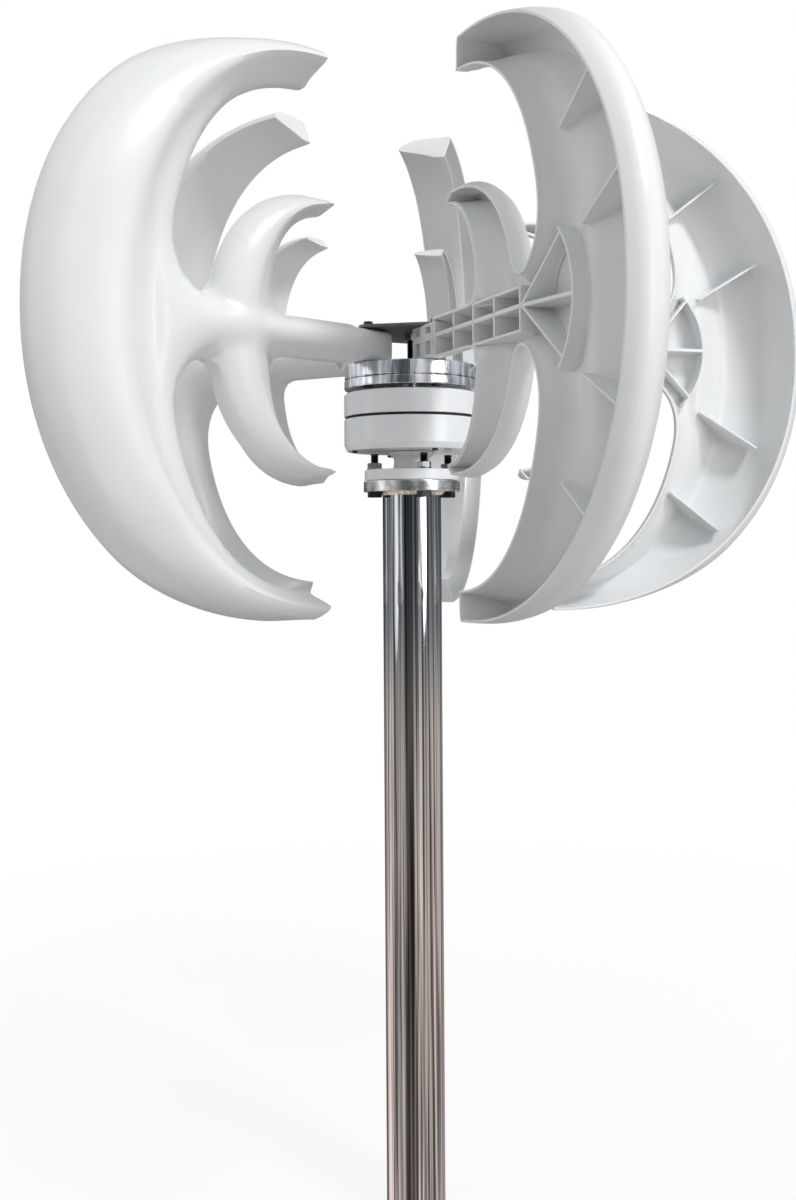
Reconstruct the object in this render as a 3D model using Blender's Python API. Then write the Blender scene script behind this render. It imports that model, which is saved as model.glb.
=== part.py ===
"""Vertical axis wind turbine: five moulded crescent blades on a drum generator, on a flanged tube mast.

Metres, +Z up. The mast stands on the origin and its axis is the Z axis. A blade's own frame has X radially
outwards, Y in the direction that its closed, convex side faces, and Z up from the blade's mid-height.
"""

import math

import bpy
import numpy as np
from mathutils import Matrix, Vector
from mathutils.bvhtree import BVHTree
from mathutils.geometry import delaunay_2d_cdt

MM = 0.001
GAP = 0.3 * MM  # left between pieces that touch

# Rotor
BLADES = 5
FIRST_BLADE_DEG = 24.7  # azimuth of blade_1, from -Y towards +X
HUB_HEIGHT = 875 * MM  # the blades' mid-height above the mast's lower end
WALL = 2.5 * MM  # the moulding's thickness

# Edges of the crescents, each a superellipse: centre radius, half width, half height, exponent
OUTER_EDGE = (148 * MM, 258 * MM, 266 * MM, 2.12)
INNER_EDGE = (115 * MM, 167 * MM, 239 * MM, 2.4)
SMALL_OUTER_EDGE = (125 * MM, 113 * MM, 132 * MM, 2.2)
SMALL_INNER_EDGE = (95 * MM, 75 * MM, 122 * MM, 2.6)
# The blunt tips: radius and height of the corner nearest the axis, and how far the cut leans outwards
TIP_CUT = (132 * MM, 241 * MM, 0.48)
SMALL_TIP_CUT = (107 * MM, 120 * MM, 0.9)

DEPTH = 58 * MM  # open edge to ridge, large crescent
SMALL_DEPTH = 33 * MM
RIM_Y = -14 * MM  # plane of the arm's and the small crescent's open edge
OUTER_RIM_Y = -18.5 * MM  # the large crescent's outer edge stands further forward
BULGE = 12 * MM  # how far the outer wall swells past its edge
SMALL_BULGE = 4 * MM
BULGE_TOP, BULGE_FADE, BULGE_TIP_FADE = 290 * MM, 92 * MM, 45 * MM  # the swell dies out by this height and at the cut tips
OUTER_BAND, SMALL_BAND = 6 * MM, 4 * MM  # how near an outer edge the outline lies to count as that edge
SMALL_BAND_LOW, SMALL_BAND_RISE = 25 * MM, 15 * MM  # the small crescent's wall starts this far above the arm

ARM_HALF = 19.5 * MM
ARM_MIDDLE = 1.5 * MM
ARM_DEPTH = 33 * MM
ARM_END = 300 * MM  # where the arm has run out inside the large crescent
ARM_TAPER = 15 * MM  # length in which the root widens to the arm
ROOT_START = 34 * MM
ROOT_END = 80 * MM
SHELL_START, ROOT_SHELL_DEPTH = 64 * MM, 10 * MM  # the hollow arm starts inside the solid root, and shallow
ROOT_LOW, ROOT_HIGH = -16 * MM, 17.2 * MM  # clamped height of the arm's root
ROOT_BACK_Y = 22 * MM
ROOT_COVER = 0.7 * MM  # how far the solid root stands out over the moulded arm
ARM_FILLET = 80 * MM  # blend of the arm into the large crescent
SMALL_FILLET = 20 * MM
SURFACE_BLEND = 16 * MM

RIB = 2.6 * MM
MID_RIB = 4 * MM
RIB_TOP_Y = RIM_Y + 1 * MM
RIB_STEP = 7 * MM
CROSS_RIBS = (122 * MM, 161 * MM, 200 * MM, 245 * MM)
STAR = (247 * MM, 4 * MM)  # where the star's ribs meet: radius, height
ARC_CENTRE = (243 * MM, 4 * MM)
ARC_RADIUS = 67 * MM
ARC_HALF_DEG = 50
ARC_TOP_Y = 0.0
STAR_RIB_DEG = (38, -35)
GUSSETS = (((277, 145), (330, 186)), ((310, 60), (372, 98)))  # mm, foot and top, mirrored below the arm
GUSSET_TOP_Y = 6 * MM

# Blade mesh
OUTLINE_STEPS = (5 * MM, 44 * MM)
OUTLINE_TOLERANCE = 1.2 * MM
SKIN_STEP = 30 * MM
SKIN_ROWS = (0.5, 0.78)  # shares of the way across a crescent
WALL_RINGS = ((0, 0, 0), (0.42, 1, 0), (1, 0, 1))  # shares of the drop, the bulge and the inset
RIB_BITE, RIB_BITE_STEP = 0.3, 0.02  # share of the wall that the first rib sinks in, and what each next one adds
SKIN_BEHIND = 200 * MM  # rays that look for the skin start this far behind the blade
STEEPEST = 2.5  # the most that a slope thickens the wall, measured along Y
SEAT_INSET = (1.2 * MM, 5 * MM)  # how far in the wall meets the back: elsewhere, and under the outer edge

# Blade fixing
BLADE_BOLT_RADIUS = 57.5 * MM
BOLT_HOLE = 2.9 * MM
M5_SHANK, M5_FLATS, M5_HEAD, M5_NUT = 2.5 * MM, 8 * MM, 3.5 * MM, 4 * MM
BOLT_END = 1.2 * MM  # how far a blade bolt stands out under the drive disc
BOLT_BITE = 2 * MM  # how far a bolt's shank runs up into its head
OVERSHOOT = 5 * MM  # how far a cutter runs past what it cuts

# Hub stack, heights from the blades' mid-height
PLATE_LOW, PLATE_HIGH, PLATE_CORNER, PLATE_CORNER_ARC = 17.5 * MM, 20.5 * MM, 69 * MM, 9 * MM
HUB_DISC_RADIUS, HUB_DISC_LOW, HUB_DISC_HIGH = 68 * MM, -30.5 * MM, -16.3 * MM
DRIVE_DISC_RADIUS, DRIVE_DISC_LOW, DRIVE_DISC_HIGH = 68.4 * MM, -40 * MM, -30.8 * MM
NUT_POCKET, NUT_POCKET_DEPTH = 6 * MM, 3.4 * MM
DISC_BEVEL = 0.8 * MM
SHAFT_STUB = 2 * MM  # how far the shaft stands out of the hub disc
STUD_RADIUS, STUD_NUT_FLATS, STUD_NUT = 4 * MM, 13 * MM, 6.5 * MM
PLATE_SCREW_RADIUS, PLATE_SCREW_TOP_RADIUS = 8 * MM, 5 * MM
PLATE_SCREW_EDGE, PLATE_SCREW_HEIGHT = 1.2 * MM, 2.6 * MM

# Generator
SHAFT_RADIUS = 10 * MM
DRUM_RADIUS, DRUM_WALL = 68.7 * MM, 5 * MM
DRUM_HIGH, SEAM, DRUM_LOW = -44 * MM, -69 * MM, -102.5 * MM
SEAM_HALF = 1.0 * MM
SEAL_INSET = 1.2 * MM  # how far the seal lies back from the drum's side
DRUM_BEVEL = 3 * MM
BEARING_RADIUS, BEARING_HEIGHT = 21 * MM, 11 * MM
BEARING_GAP = 0.05 * MM
SHAFT_END = 0.5 * MM  # the shaft's lower end above the lower bearing's seat
ROTOR_YOKE_RADIUS = 42 * MM
STATOR_RADIUS, STATOR_INNER = 63 * MM, 43 * MM
STATOR_LOW, STATOR_HIGH = -86 * MM, -64 * MM
STATOR_TEETH, SLOT_DEPTH, SLOT_SPREAD = 18, 12 * MM, 0.004
WINDING_HEIGHT, WINDING_INSET = 6 * MM, (2 * MM, 4 * MM)
FOOT_RADIUS, NECK_STEP_RADIUS, NECK_RADIUS = 48.2 * MM, 23.6 * MM, 18 * MM
FOOT_LOW, FOOT_HIGH, NECK_STEP_LOW = -132.5 * MM, -121.5 * MM, -108 * MM
CABLE_BORE = 8 * MM
SCREW_RADIUS, SCREW_HEAD_RADIUS, SCREW_HEAD = 61.5 * MM, 3 * MM, 2.2 * MM
SCREWS, FIRST_SCREW_DEG = 4, 22

# Mast
MAST_RADIUS, MAST_WALL = 30 * MM, 2.5 * MM
MAST_FLANGE_RADIUS, MAST_FLANGE_THICK, MAST_FLANGE_BORE = 49.2 * MM, 11 * MM, 20 * MM
FLANGE_BOLTS, FIRST_BOLT_DEG, FLANGE_BOLT_RADIUS = 4, 18, 39.5 * MM
M8_SHANK, M8_FLATS, M8_HEAD, M8_NUT = 4.0 * MM, 13 * MM, 5.5 * MM, 6.5 * MM
FLANGE_HOLE = 4.5 * MM
STUD_TOP = -105.5 * MM

ROUND = 32  # sides of a large round piece
MAST_ROUND = 72
SMALL_ROUND = 24
BOLT_ROUND = 12


# ---------------------------------------------------------------- scene and mesh helpers

for leftover in list(bpy.data.objects):
    bpy.data.objects.remove(leftover, do_unlink=True)


def material(name, colour, metallic, roughness):
    made = bpy.data.materials.new(name)
    made.use_nodes = True
    shader = made.node_tree.nodes["Principled BSDF"]
    shader.inputs["Base Color"].default_value = (*colour, 1)
    shader.inputs["Metallic"].default_value = metallic
    shader.inputs["Roughness"].default_value = roughness
    return made


FINISHES = {
    "blade_plastic": ((0.86, 0.87, 0.87), 0.0, 0.35),
    "polished_aluminium": ((0.78, 0.79, 0.80), 1.0, 0.22),
    "clamp_steel": ((0.33, 0.34, 0.35), 1.0, 0.40),
    "housing_paint": ((0.82, 0.83, 0.83), 0.0, 0.40),
    "seal_rubber": ((0.03, 0.03, 0.03), 0.0, 0.80),
    "mast_steel": ((0.62, 0.62, 0.62), 1.0, 0.10),
    "bolt_steel": ((0.18, 0.18, 0.19), 1.0, 0.45),
    "core_steel": ((0.36, 0.35, 0.34), 1.0, 0.50),
    "winding_copper": ((0.66, 0.30, 0.12), 1.0, 0.40),
    "bearing_steel": ((0.70, 0.70, 0.71), 1.0, 0.20),
}


def solid(name, points, faces, finish, matrix=None):
    """A closed mesh object with its own material."""
    mesh = bpy.data.meshes.new(name)
    mesh.from_pydata([tuple(p) for p in points], [], [tuple(f) for f in faces])
    if matrix is not None:
        mesh.transform(matrix)
    mesh.update()
    made = bpy.data.objects.new(name, mesh)
    made.data.materials.append(material(name, *FINISHES[finish]))
    bpy.context.scene.collection.objects.link(made)
    return made


def turned(profile, sides, start_deg=0.0):
    """Points and faces of a closed (radius, height) profile turned about Z. It runs anticlockwise."""
    points, faces, rows = [], [], []
    for radius, height in profile:
        if radius == 0:
            rows.append([len(points)] * sides)
            points.append((0, 0, height))
            continue
        rows.append(list(range(len(points), len(points) + sides)))
        for i in range(sides):
            angle = math.radians(start_deg) + 2 * math.pi * i / sides
            points.append((radius * math.cos(angle), radius * math.sin(angle), height))
    for a, b in zip(rows, rows[1:] + rows[:1]):
        for i in range(sides):
            j = (i + 1) % sides
            corners = list(dict.fromkeys([a[i], a[j], b[j], b[i]]))
            if len(corners) > 2:
                faces.append(corners)
    return points, faces


def prism(outline, low, high):
    """Points and faces of a closed (x, y) outline, anticlockwise, extruded along Z."""
    n = len(outline)
    points = [(x, y, low) for x, y in outline] + [(x, y, high) for x, y in outline]
    faces = [tuple(range(n - 1, -1, -1)), tuple(range(n, 2 * n))]
    faces += [(i, (i + 1) % n, n + (i + 1) % n, n + i) for i in range(n)]
    return points, faces


def hexagon(flats):
    return circle(flats / math.sqrt(3), 6)


def circle(radius, sides):
    turns = [2 * math.pi * i / sides for i in range(sides)]
    return [(radius * math.cos(turn), radius * math.sin(turn)) for turn in turns]


def at(azimuth_deg, radius, height=0.0):
    """Places a piece made on the Z axis at an azimuth, measured from -Y towards +X."""
    angle = math.radians(azimuth_deg - 90)
    return Matrix.Rotation(angle, 4, "Z") @ Matrix.Translation((radius, 0, height))


def boolean(target, tool_mesh, operation, matrix=None):
    """Joins or cuts the target with one closed mesh and keeps the result."""
    tool = solid("tool", *tool_mesh, "bolt_steel", matrix)
    tool.hide_render = True
    tool.display_type = "WIRE"
    modifier = target.modifiers.new("tool", "BOOLEAN")
    modifier.operation = operation
    modifier.solver = "EXACT"
    modifier.object = tool
    bpy.context.view_layer.update()
    result = bpy.data.meshes.new_from_object(target.evaluated_get(bpy.context.evaluated_depsgraph_get()))
    target.modifiers.clear()
    result.materials.clear()
    for slot in target.data.materials:
        result.materials.append(slot)
    target.data = result
    bpy.data.objects.remove(tool, do_unlink=True)


def lifted(profile, by=HUB_HEIGHT):
    return [(radius, height + by) for radius, height in profile]


# ---------------------------------------------------------------- mast and foot: the part that stands still

flange_high = FOOT_LOW - GAP
flange_low = flange_high - MAST_FLANGE_THICK
tube_top = HUB_HEIGHT + flange_low - GAP

solid(
    "mast_tube",
    *turned(
        [
            (MAST_RADIUS - MAST_WALL, 0),
            (MAST_RADIUS, 0),
            (MAST_RADIUS, tube_top),
            (MAST_RADIUS - MAST_WALL, tube_top),
        ],
        MAST_ROUND,
    ),
    "mast_steel",
)

mast_flange = solid(
    "mast_flange",
    *turned(
        lifted(
            [
                (MAST_FLANGE_BORE, flange_low),
                (MAST_FLANGE_RADIUS, flange_low),
                (MAST_FLANGE_RADIUS, flange_high),
                (MAST_FLANGE_BORE, flange_high),
            ]
        ),
        ROUND,
    ),
    "mast_steel",
)

foot = solid(
    "foot_flange",
    *turned(
        lifted(
            [
                (CABLE_BORE, FOOT_LOW),
                (FOOT_RADIUS, FOOT_LOW),
                (FOOT_RADIUS, FOOT_HIGH),
                (NECK_RADIUS, FOOT_HIGH),
                (NECK_RADIUS, NECK_STEP_LOW),
                (NECK_STEP_RADIUS, NECK_STEP_LOW),
                (NECK_STEP_RADIUS, DRUM_LOW - GAP),
                (CABLE_BORE, DRUM_LOW - GAP),
            ]
        ),
        ROUND,
    ),
    "housing_paint",
)

bolt_low, bolt_seat = flange_low - GAP - M8_HEAD, flange_low - GAP
nut_low = FOOT_HIGH + GAP
for i in range(FLANGE_BOLTS):
    place = at(FIRST_BOLT_DEG + 360 * i / FLANGE_BOLTS, FLANGE_BOLT_RADIUS, HUB_HEIGHT)
    hole = prism(circle(FLANGE_HOLE, BOLT_ROUND), flange_low - OVERSHOOT, FOOT_HIGH + OVERSHOOT)
    boolean(mast_flange, hole, "DIFFERENCE", place)
    boolean(foot, hole, "DIFFERENCE", place)
    bolt = solid(f"flange_bolt_{i + 1}", *prism(hexagon(M8_FLATS), bolt_low, bolt_seat), "bolt_steel", place)
    boolean(bolt, prism(circle(M8_SHANK, BOLT_ROUND), bolt_seat - BOLT_BITE, STUD_TOP), "UNION", place)
    nut = solid(f"flange_nut_{i + 1}", *prism(hexagon(M8_FLATS), nut_low, nut_low + M8_NUT), "bolt_steel", place)
    nut_bore = prism(circle(M8_SHANK + GAP, BOLT_ROUND), nut_low - OVERSHOOT, nut_low + M8_NUT + OVERSHOOT)
    boolean(nut, nut_bore, "DIFFERENCE", place)

# ---------------------------------------------------------------- generator: drum, seam, core, windings, bearings

inner = DRUM_RADIUS - DRUM_WALL
lower_bearing_low = DRUM_LOW + DRUM_WALL
solid(
    "lower_housing",
    *turned(
        lifted(
            [
                (CABLE_BORE, DRUM_LOW),
                (DRUM_RADIUS - DRUM_BEVEL, DRUM_LOW),
                (DRUM_RADIUS, DRUM_LOW + 2 * DRUM_BEVEL),
                (DRUM_RADIUS, SEAM - SEAM_HALF - GAP),
                (inner, SEAM - SEAM_HALF - GAP),
                (inner, DRUM_LOW + DRUM_WALL),
                (BEARING_RADIUS + GAP + DRUM_WALL, DRUM_LOW + DRUM_WALL),
                (BEARING_RADIUS + GAP + DRUM_WALL, lower_bearing_low + BEARING_HEIGHT),
                (BEARING_RADIUS + GAP, lower_bearing_low + BEARING_HEIGHT),
                (BEARING_RADIUS + GAP, lower_bearing_low - GAP),
                (CABLE_BORE, lower_bearing_low - GAP),
            ]
        ),
        ROUND,
    ),
    "housing_paint",
)

upper_bearing_high = DRUM_HIGH - GAP
solid(
    "upper_housing",
    *turned(
        lifted(
            [
                (BEARING_RADIUS + GAP, upper_bearing_high - BEARING_HEIGHT),
                (BEARING_RADIUS + GAP + DRUM_WALL, upper_bearing_high - BEARING_HEIGHT),
                (BEARING_RADIUS + GAP + DRUM_WALL, DRUM_HIGH - DRUM_WALL),
                (inner, DRUM_HIGH - DRUM_WALL),
                (inner, SEAM + SEAM_HALF + GAP),
                (DRUM_RADIUS, SEAM + SEAM_HALF + GAP),
                (DRUM_RADIUS, DRUM_HIGH - DRUM_BEVEL / 2),
                (DRUM_RADIUS - DRUM_BEVEL / 2, DRUM_HIGH),
                (BEARING_RADIUS + GAP, DRUM_HIGH),
            ]
        ),
        ROUND,
    ),
    "housing_paint",
)

solid(
    "housing_gasket",
    *turned(
        lifted(
            [
                (inner, SEAM - SEAM_HALF),
                (DRUM_RADIUS - SEAL_INSET, SEAM - SEAM_HALF),
                (DRUM_RADIUS - SEAL_INSET, SEAM + SEAM_HALF),
                (inner, SEAM + SEAM_HALF),
            ]
        ),
        ROUND,
    ),
    "seal_rubber",
)

for i in range(SCREWS):
    place = at(FIRST_SCREW_DEG + 360 * i / SCREWS, SCREW_RADIUS, HUB_HEIGHT + DRUM_LOW - GAP)
    solid(
        f"housing_screw_{i + 1}",
        *prism(circle(SCREW_HEAD_RADIUS, BOLT_ROUND), -SCREW_HEAD, 0),
        "bolt_steel",
        place,
    )


def bearing(name, low, outer_radius):
    solid(
        name,
        *turned(
            lifted(
                [
                    (SHAFT_RADIUS + BEARING_GAP, low),
                    (outer_radius, low),
                    (outer_radius, low + BEARING_HEIGHT - GAP),
                    (SHAFT_RADIUS + BEARING_GAP, low + BEARING_HEIGHT - GAP),
                ]
            ),
            SMALL_ROUND,
        ),
        "bearing_steel",
    )


bearing("bearing_lower", lower_bearing_low, BEARING_RADIUS)
bearing("bearing_upper", upper_bearing_high - BEARING_HEIGHT, BEARING_RADIUS)


def toothed_ring(outer_radius, inner_radius, slot_radius, teeth):
    """Outlines of a laminated ring: a round outside, and teeth with slots between them inside."""
    outside, inside = [], []
    for i in range(teeth):
        for part, radius in ((0, inner_radius), (0.5, inner_radius), (0.5, slot_radius), (1, slot_radius)):
            angle = 2 * math.pi * (i + part) / teeth
            outside.append((outer_radius * math.cos(angle), outer_radius * math.sin(angle)))
            inside.append((radius * math.cos(angle), radius * math.sin(angle)))
    return outside, inside


def ring_prism(outside, inside, low, high):
    n = len(outside)
    points = [(x, y, z) for z in (low, high) for loop in (outside, inside) for x, y in loop]
    faces = []
    for i in range(n):
        j = (i + 1) % n
        faces.append((i, j, 2 * n + j, 2 * n + i))
        faces.append((n + j, n + i, 3 * n + i, 3 * n + j))
        faces.append((2 * n + i, 2 * n + j, 3 * n + j, 3 * n + i))
        faces.append((j, i, n + i, n + j))
    return points, faces


def stator_outlines():
    """The outside of each slot's two ends falls on one point of the round, so those points are spread a little."""
    outside, inside = toothed_ring(STATOR_RADIUS, STATOR_INNER, STATOR_INNER + SLOT_DEPTH, STATOR_TEETH)
    spread = []
    for i, (x, y) in enumerate(outside):
        turn = SLOT_SPREAD if i % 2 == 0 else -SLOT_SPREAD
        spread.append((x * math.cos(turn) - y * math.sin(turn), x * math.sin(turn) + y * math.cos(turn)))
    return spread, inside


solid(
    "stator_core",
    *ring_prism(*stator_outlines(), HUB_HEIGHT + STATOR_LOW, HUB_HEIGHT + STATOR_HIGH),
    "core_steel",
)
for name, low in (("winding_lower", STATOR_LOW - GAP - WINDING_HEIGHT), ("winding_upper", STATOR_HIGH + GAP)):
    solid(
        name,
        *turned(
            lifted(
                [
                    (STATOR_INNER + WINDING_INSET[0], low),
                    (STATOR_RADIUS - WINDING_INSET[1], low),
                    (STATOR_RADIUS - WINDING_INSET[1], low + WINDING_HEIGHT),
                    (STATOR_INNER + WINDING_INSET[0], low + WINDING_HEIGHT),
                ]
            ),
            SMALL_ROUND,
        ),
        "winding_copper",
    )

# ---------------------------------------------------------------- rotor: shaft, magnets, hub stack

shaft_low, shaft_top = lower_bearing_low + SHAFT_END, HUB_DISC_HIGH + SHAFT_STUB
shaft_profile = [(0, shaft_low), (SHAFT_RADIUS, shaft_low), (SHAFT_RADIUS, shaft_top), (0, shaft_top)]
solid("rotor_shaft", *turned(lifted(shaft_profile), SMALL_ROUND), "bearing_steel")

solid(
    "magnet_rotor",
    *turned(
        lifted(
            [
                (SHAFT_RADIUS + GAP, STATOR_LOW + MM),
                (ROTOR_YOKE_RADIUS, STATOR_LOW + MM),
                (ROTOR_YOKE_RADIUS, STATOR_HIGH - MM),
                (SHAFT_RADIUS + GAP, STATOR_HIGH - MM),
            ]
        ),
        SMALL_ROUND,
    ),
    "core_steel",
)


def disc(name, radius, low, high, bevel=DISC_BEVEL):
    return solid(
        name,
        *turned(
            lifted(
                [
                    (SHAFT_RADIUS + GAP, low),
                    (radius - bevel, low),
                    (radius, low + bevel),
                    (radius, high - bevel),
                    (radius - bevel, high),
                    (SHAFT_RADIUS + GAP, high),
                ]
            ),
            ROUND,
        ),
        "polished_aluminium",
    )


drive_disc = disc("drive_disc", DRIVE_DISC_RADIUS, DRIVE_DISC_LOW, DRIVE_DISC_HIGH)
hub_disc = disc("hub_disc", HUB_DISC_RADIUS, HUB_DISC_LOW, HUB_DISC_HIGH)

# A stud on the shaft's end carries the top plate on a nut.
stud_low, stud_high = shaft_top + GAP, PLATE_LOW - GAP
stud_profile = [(0, stud_low), (STUD_RADIUS, stud_low), (STUD_RADIUS, stud_high), (0, stud_high)]
solid("hub_stud", *turned(lifted(stud_profile), BOLT_ROUND), "bolt_steel")
hub_nut = solid(
    "hub_nut",
    *prism(hexagon(STUD_NUT_FLATS), HUB_HEIGHT + stud_high - STUD_NUT, HUB_HEIGHT + stud_high),
    "bearing_steel",
)
nut_bore = prism(circle(STUD_RADIUS + GAP, BOLT_ROUND), stud_low, PLATE_HIGH)
boolean(hub_nut, nut_bore, "DIFFERENCE", Matrix.Translation((0, 0, HUB_HEIGHT)))


def rounded_corners(corners, radius, steps):
    """An outline with each of its corners turned into an arc."""
    made = []
    for i, corner in enumerate(corners):
        here, before, after = Vector(corner), Vector(corners[i - 1]), Vector(corners[(i + 1) % len(corners)])
        back, on = (before - here).normalized(), (after - here).normalized()
        half = back.angle(on) / 2
        centre = here + (back + on).normalized() * radius / math.sin(half)
        start, end = here + back * radius / math.tan(half) - centre, here + on * radius / math.tan(half) - centre
        sweep = start.angle(end)
        for k in range(steps + 1):
            a = sweep * k / steps
            made.append(centre + (start * math.sin(sweep - a) + end * math.sin(a)) / math.sin(sweep))
    return [(p.x, p.y) for p in made]


azimuths = [FIRST_BLADE_DEG + 360 * i / BLADES for i in range(BLADES)]
plate_corners = [(at(azimuth, PLATE_CORNER) @ Vector((0, 0, 0))).xy for azimuth in azimuths]
top_plate = solid(
    "top_plate",
    *prism(rounded_corners(plate_corners, PLATE_CORNER_ARC, 3), HUB_HEIGHT + PLATE_LOW, HUB_HEIGHT + PLATE_HIGH),
    "clamp_steel",
)
solid(
    "shaft_screw",
    *turned(
        lifted(
            [
                (0, PLATE_HIGH + GAP),
                (PLATE_SCREW_RADIUS, PLATE_HIGH + GAP),
                (PLATE_SCREW_RADIUS, PLATE_HIGH + GAP + PLATE_SCREW_EDGE),
                (PLATE_SCREW_TOP_RADIUS, PLATE_HIGH + GAP + PLATE_SCREW_HEIGHT),
                (0, PLATE_HIGH + GAP + PLATE_SCREW_HEIGHT),
            ]
        ),
        SMALL_ROUND,
    ),
    "bolt_steel",
)

head_low = PLATE_HIGH + GAP
pocket_top = DRIVE_DISC_LOW + NUT_POCKET_DEPTH
nut_high = pocket_top - GAP
shank_low = DRIVE_DISC_LOW - BOLT_END
for i, azimuth in enumerate(azimuths):
    place = at(azimuth, BLADE_BOLT_RADIUS, HUB_HEIGHT)
    hole = prism(circle(BOLT_HOLE, BOLT_ROUND), DRIVE_DISC_LOW - OVERSHOOT, PLATE_HIGH + OVERSHOOT)
    for plate in (top_plate, hub_disc, drive_disc):
        boolean(plate, hole, "DIFFERENCE", place)
    pocket = prism(circle(NUT_POCKET, BOLT_ROUND), DRIVE_DISC_LOW - OVERSHOOT, pocket_top)
    boolean(drive_disc, pocket, "DIFFERENCE", place)
    bolt = solid(f"blade_bolt_{i + 1}", *prism(hexagon(M5_FLATS), head_low, head_low + M5_HEAD), "bolt_steel", place)
    boolean(bolt, prism(circle(M5_SHANK, BOLT_ROUND), shank_low, head_low + BOLT_BITE), "UNION", place)
    nut = solid(f"blade_nut_{i + 1}", *prism(hexagon(M5_FLATS), nut_high - M5_NUT, nut_high), "bolt_steel", place)
    nut_bore = prism(circle(M5_SHANK + GAP, BOLT_ROUND), shank_low - OVERSHOOT, pocket_top + OVERSHOOT)
    boolean(nut, nut_bore, "DIFFERENCE", place)

# ---------------------------------------------------------------- blade: outline, depth and ribs


def smooth_max(a, b, reach):
    """The larger of two fields, blended where they are closer than reach."""
    return np.maximum(a, b) + np.maximum(reach - np.abs(a - b), 0) ** 2 / (4 * reach)


def smooth_step(value):
    value = np.clip(value, 0, 1)
    return value * value * (3 - 2 * value)


def inside_edge(x, z, edge):
    """How far a point is inside a superellipse edge, measured along the ray from its centre."""
    centre, half_width, half_height, power = edge
    across, up = np.maximum(x - centre, 0), np.hypot(z, MM)
    reach = (across / half_width) ** power + (up / half_height) ** power
    reach = np.maximum(reach, 1e-9) ** (1 / power)
    radius = np.maximum(np.hypot(across, up), 1e-6)
    return radius / reach - radius


def beyond_cut(x, z, cut):
    return x - (cut[0] + cut[2] * (np.abs(z) - cut[1]))


def crescent(x, z, outer_edge, inner_edge, cut):
    """Distance inside a crescent, and the fraction of the way from its inner to its outer edge."""
    from_outer, from_inner = inside_edge(x, z, outer_edge), -inside_edge(x, z, inner_edge)
    fraction = from_inner / np.maximum(from_inner + from_outer, 1e-6)
    return np.minimum(np.minimum(from_outer, from_inner), beyond_cut(x, z, cut)), np.clip(fraction, -1, 1.2)


def arm_section(x):
    """Half height and middle height of the arm: a clamped root, then the moulded arm."""
    out = smooth_step((x - ROOT_END) / ARM_TAPER)
    root_half, root_middle = (ROOT_HIGH - ROOT_LOW) / 2 - ROOT_COVER, (ROOT_HIGH + ROOT_LOW) / 2
    return root_half + (ARM_HALF - root_half) * out, root_middle + (ARM_MIDDLE - root_middle) * out


def blade_field(x, z):
    """Positive inside the blade's outline, in metres from it."""
    large, _ = crescent(x, z, OUTER_EDGE, INNER_EDGE, TIP_CUT)
    small, _ = crescent(x, z, SMALL_OUTER_EDGE, SMALL_INNER_EDGE, SMALL_TIP_CUT)
    half, middle = arm_section(x)
    arm = np.minimum(np.minimum(half - np.abs(z - middle), x - SHELL_START), ARM_END - x)
    return smooth_max(smooth_max(large, arm, ARM_FILLET), small, SMALL_FILLET)


def section(fraction):
    """Depth across a crescent, as a share of its full depth: a flat slope, a ridge, then a long round back."""
    slope = fraction / 0.5
    back = np.sqrt(np.clip(1 - 0.58 * np.clip((fraction - 0.5) / 0.5, 0, 1) ** 2, 0, 1))
    return -smooth_max(-slope, -back, 0.12)


def blade_depth(x, z):
    """Depth of the blade's closed side behind its open edge."""
    large, large_share = crescent(x, z, OUTER_EDGE, INNER_EDGE, TIP_CUT)
    small, small_share = crescent(x, z, SMALL_OUTER_EDGE, SMALL_INNER_EDGE, SMALL_TIP_CUT)
    half, middle = arm_section(x)
    across = (z - middle) / half
    arm = ARM_DEPTH * np.sqrt(np.clip(1 - across**2, 0, 1)) - np.maximum(np.abs(across) - 1, 0) * half * 1.5
    arm = np.minimum(arm, ROOT_SHELL_DEPTH + x - SHELL_START) - np.maximum(x - ARM_END, 0)
    depth = smooth_max(DEPTH * section(large_share), arm, SURFACE_BLEND)
    outside_small = np.minimum(small, 0) * 1.5
    depth = smooth_max(depth, SMALL_DEPTH * section(small_share) + outside_small, SURFACE_BLEND)
    return np.maximum(depth, np.minimum(1.2 * blade_field(x, z), 20 * MM))


def rim_y(x, z):
    """Height of the open edge along Y."""
    _, share = crescent(x, z, OUTER_EDGE, INNER_EDGE, TIP_CUT)
    return RIM_Y + (OUTER_RIM_Y - RIM_Y) * smooth_step(share)


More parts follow.
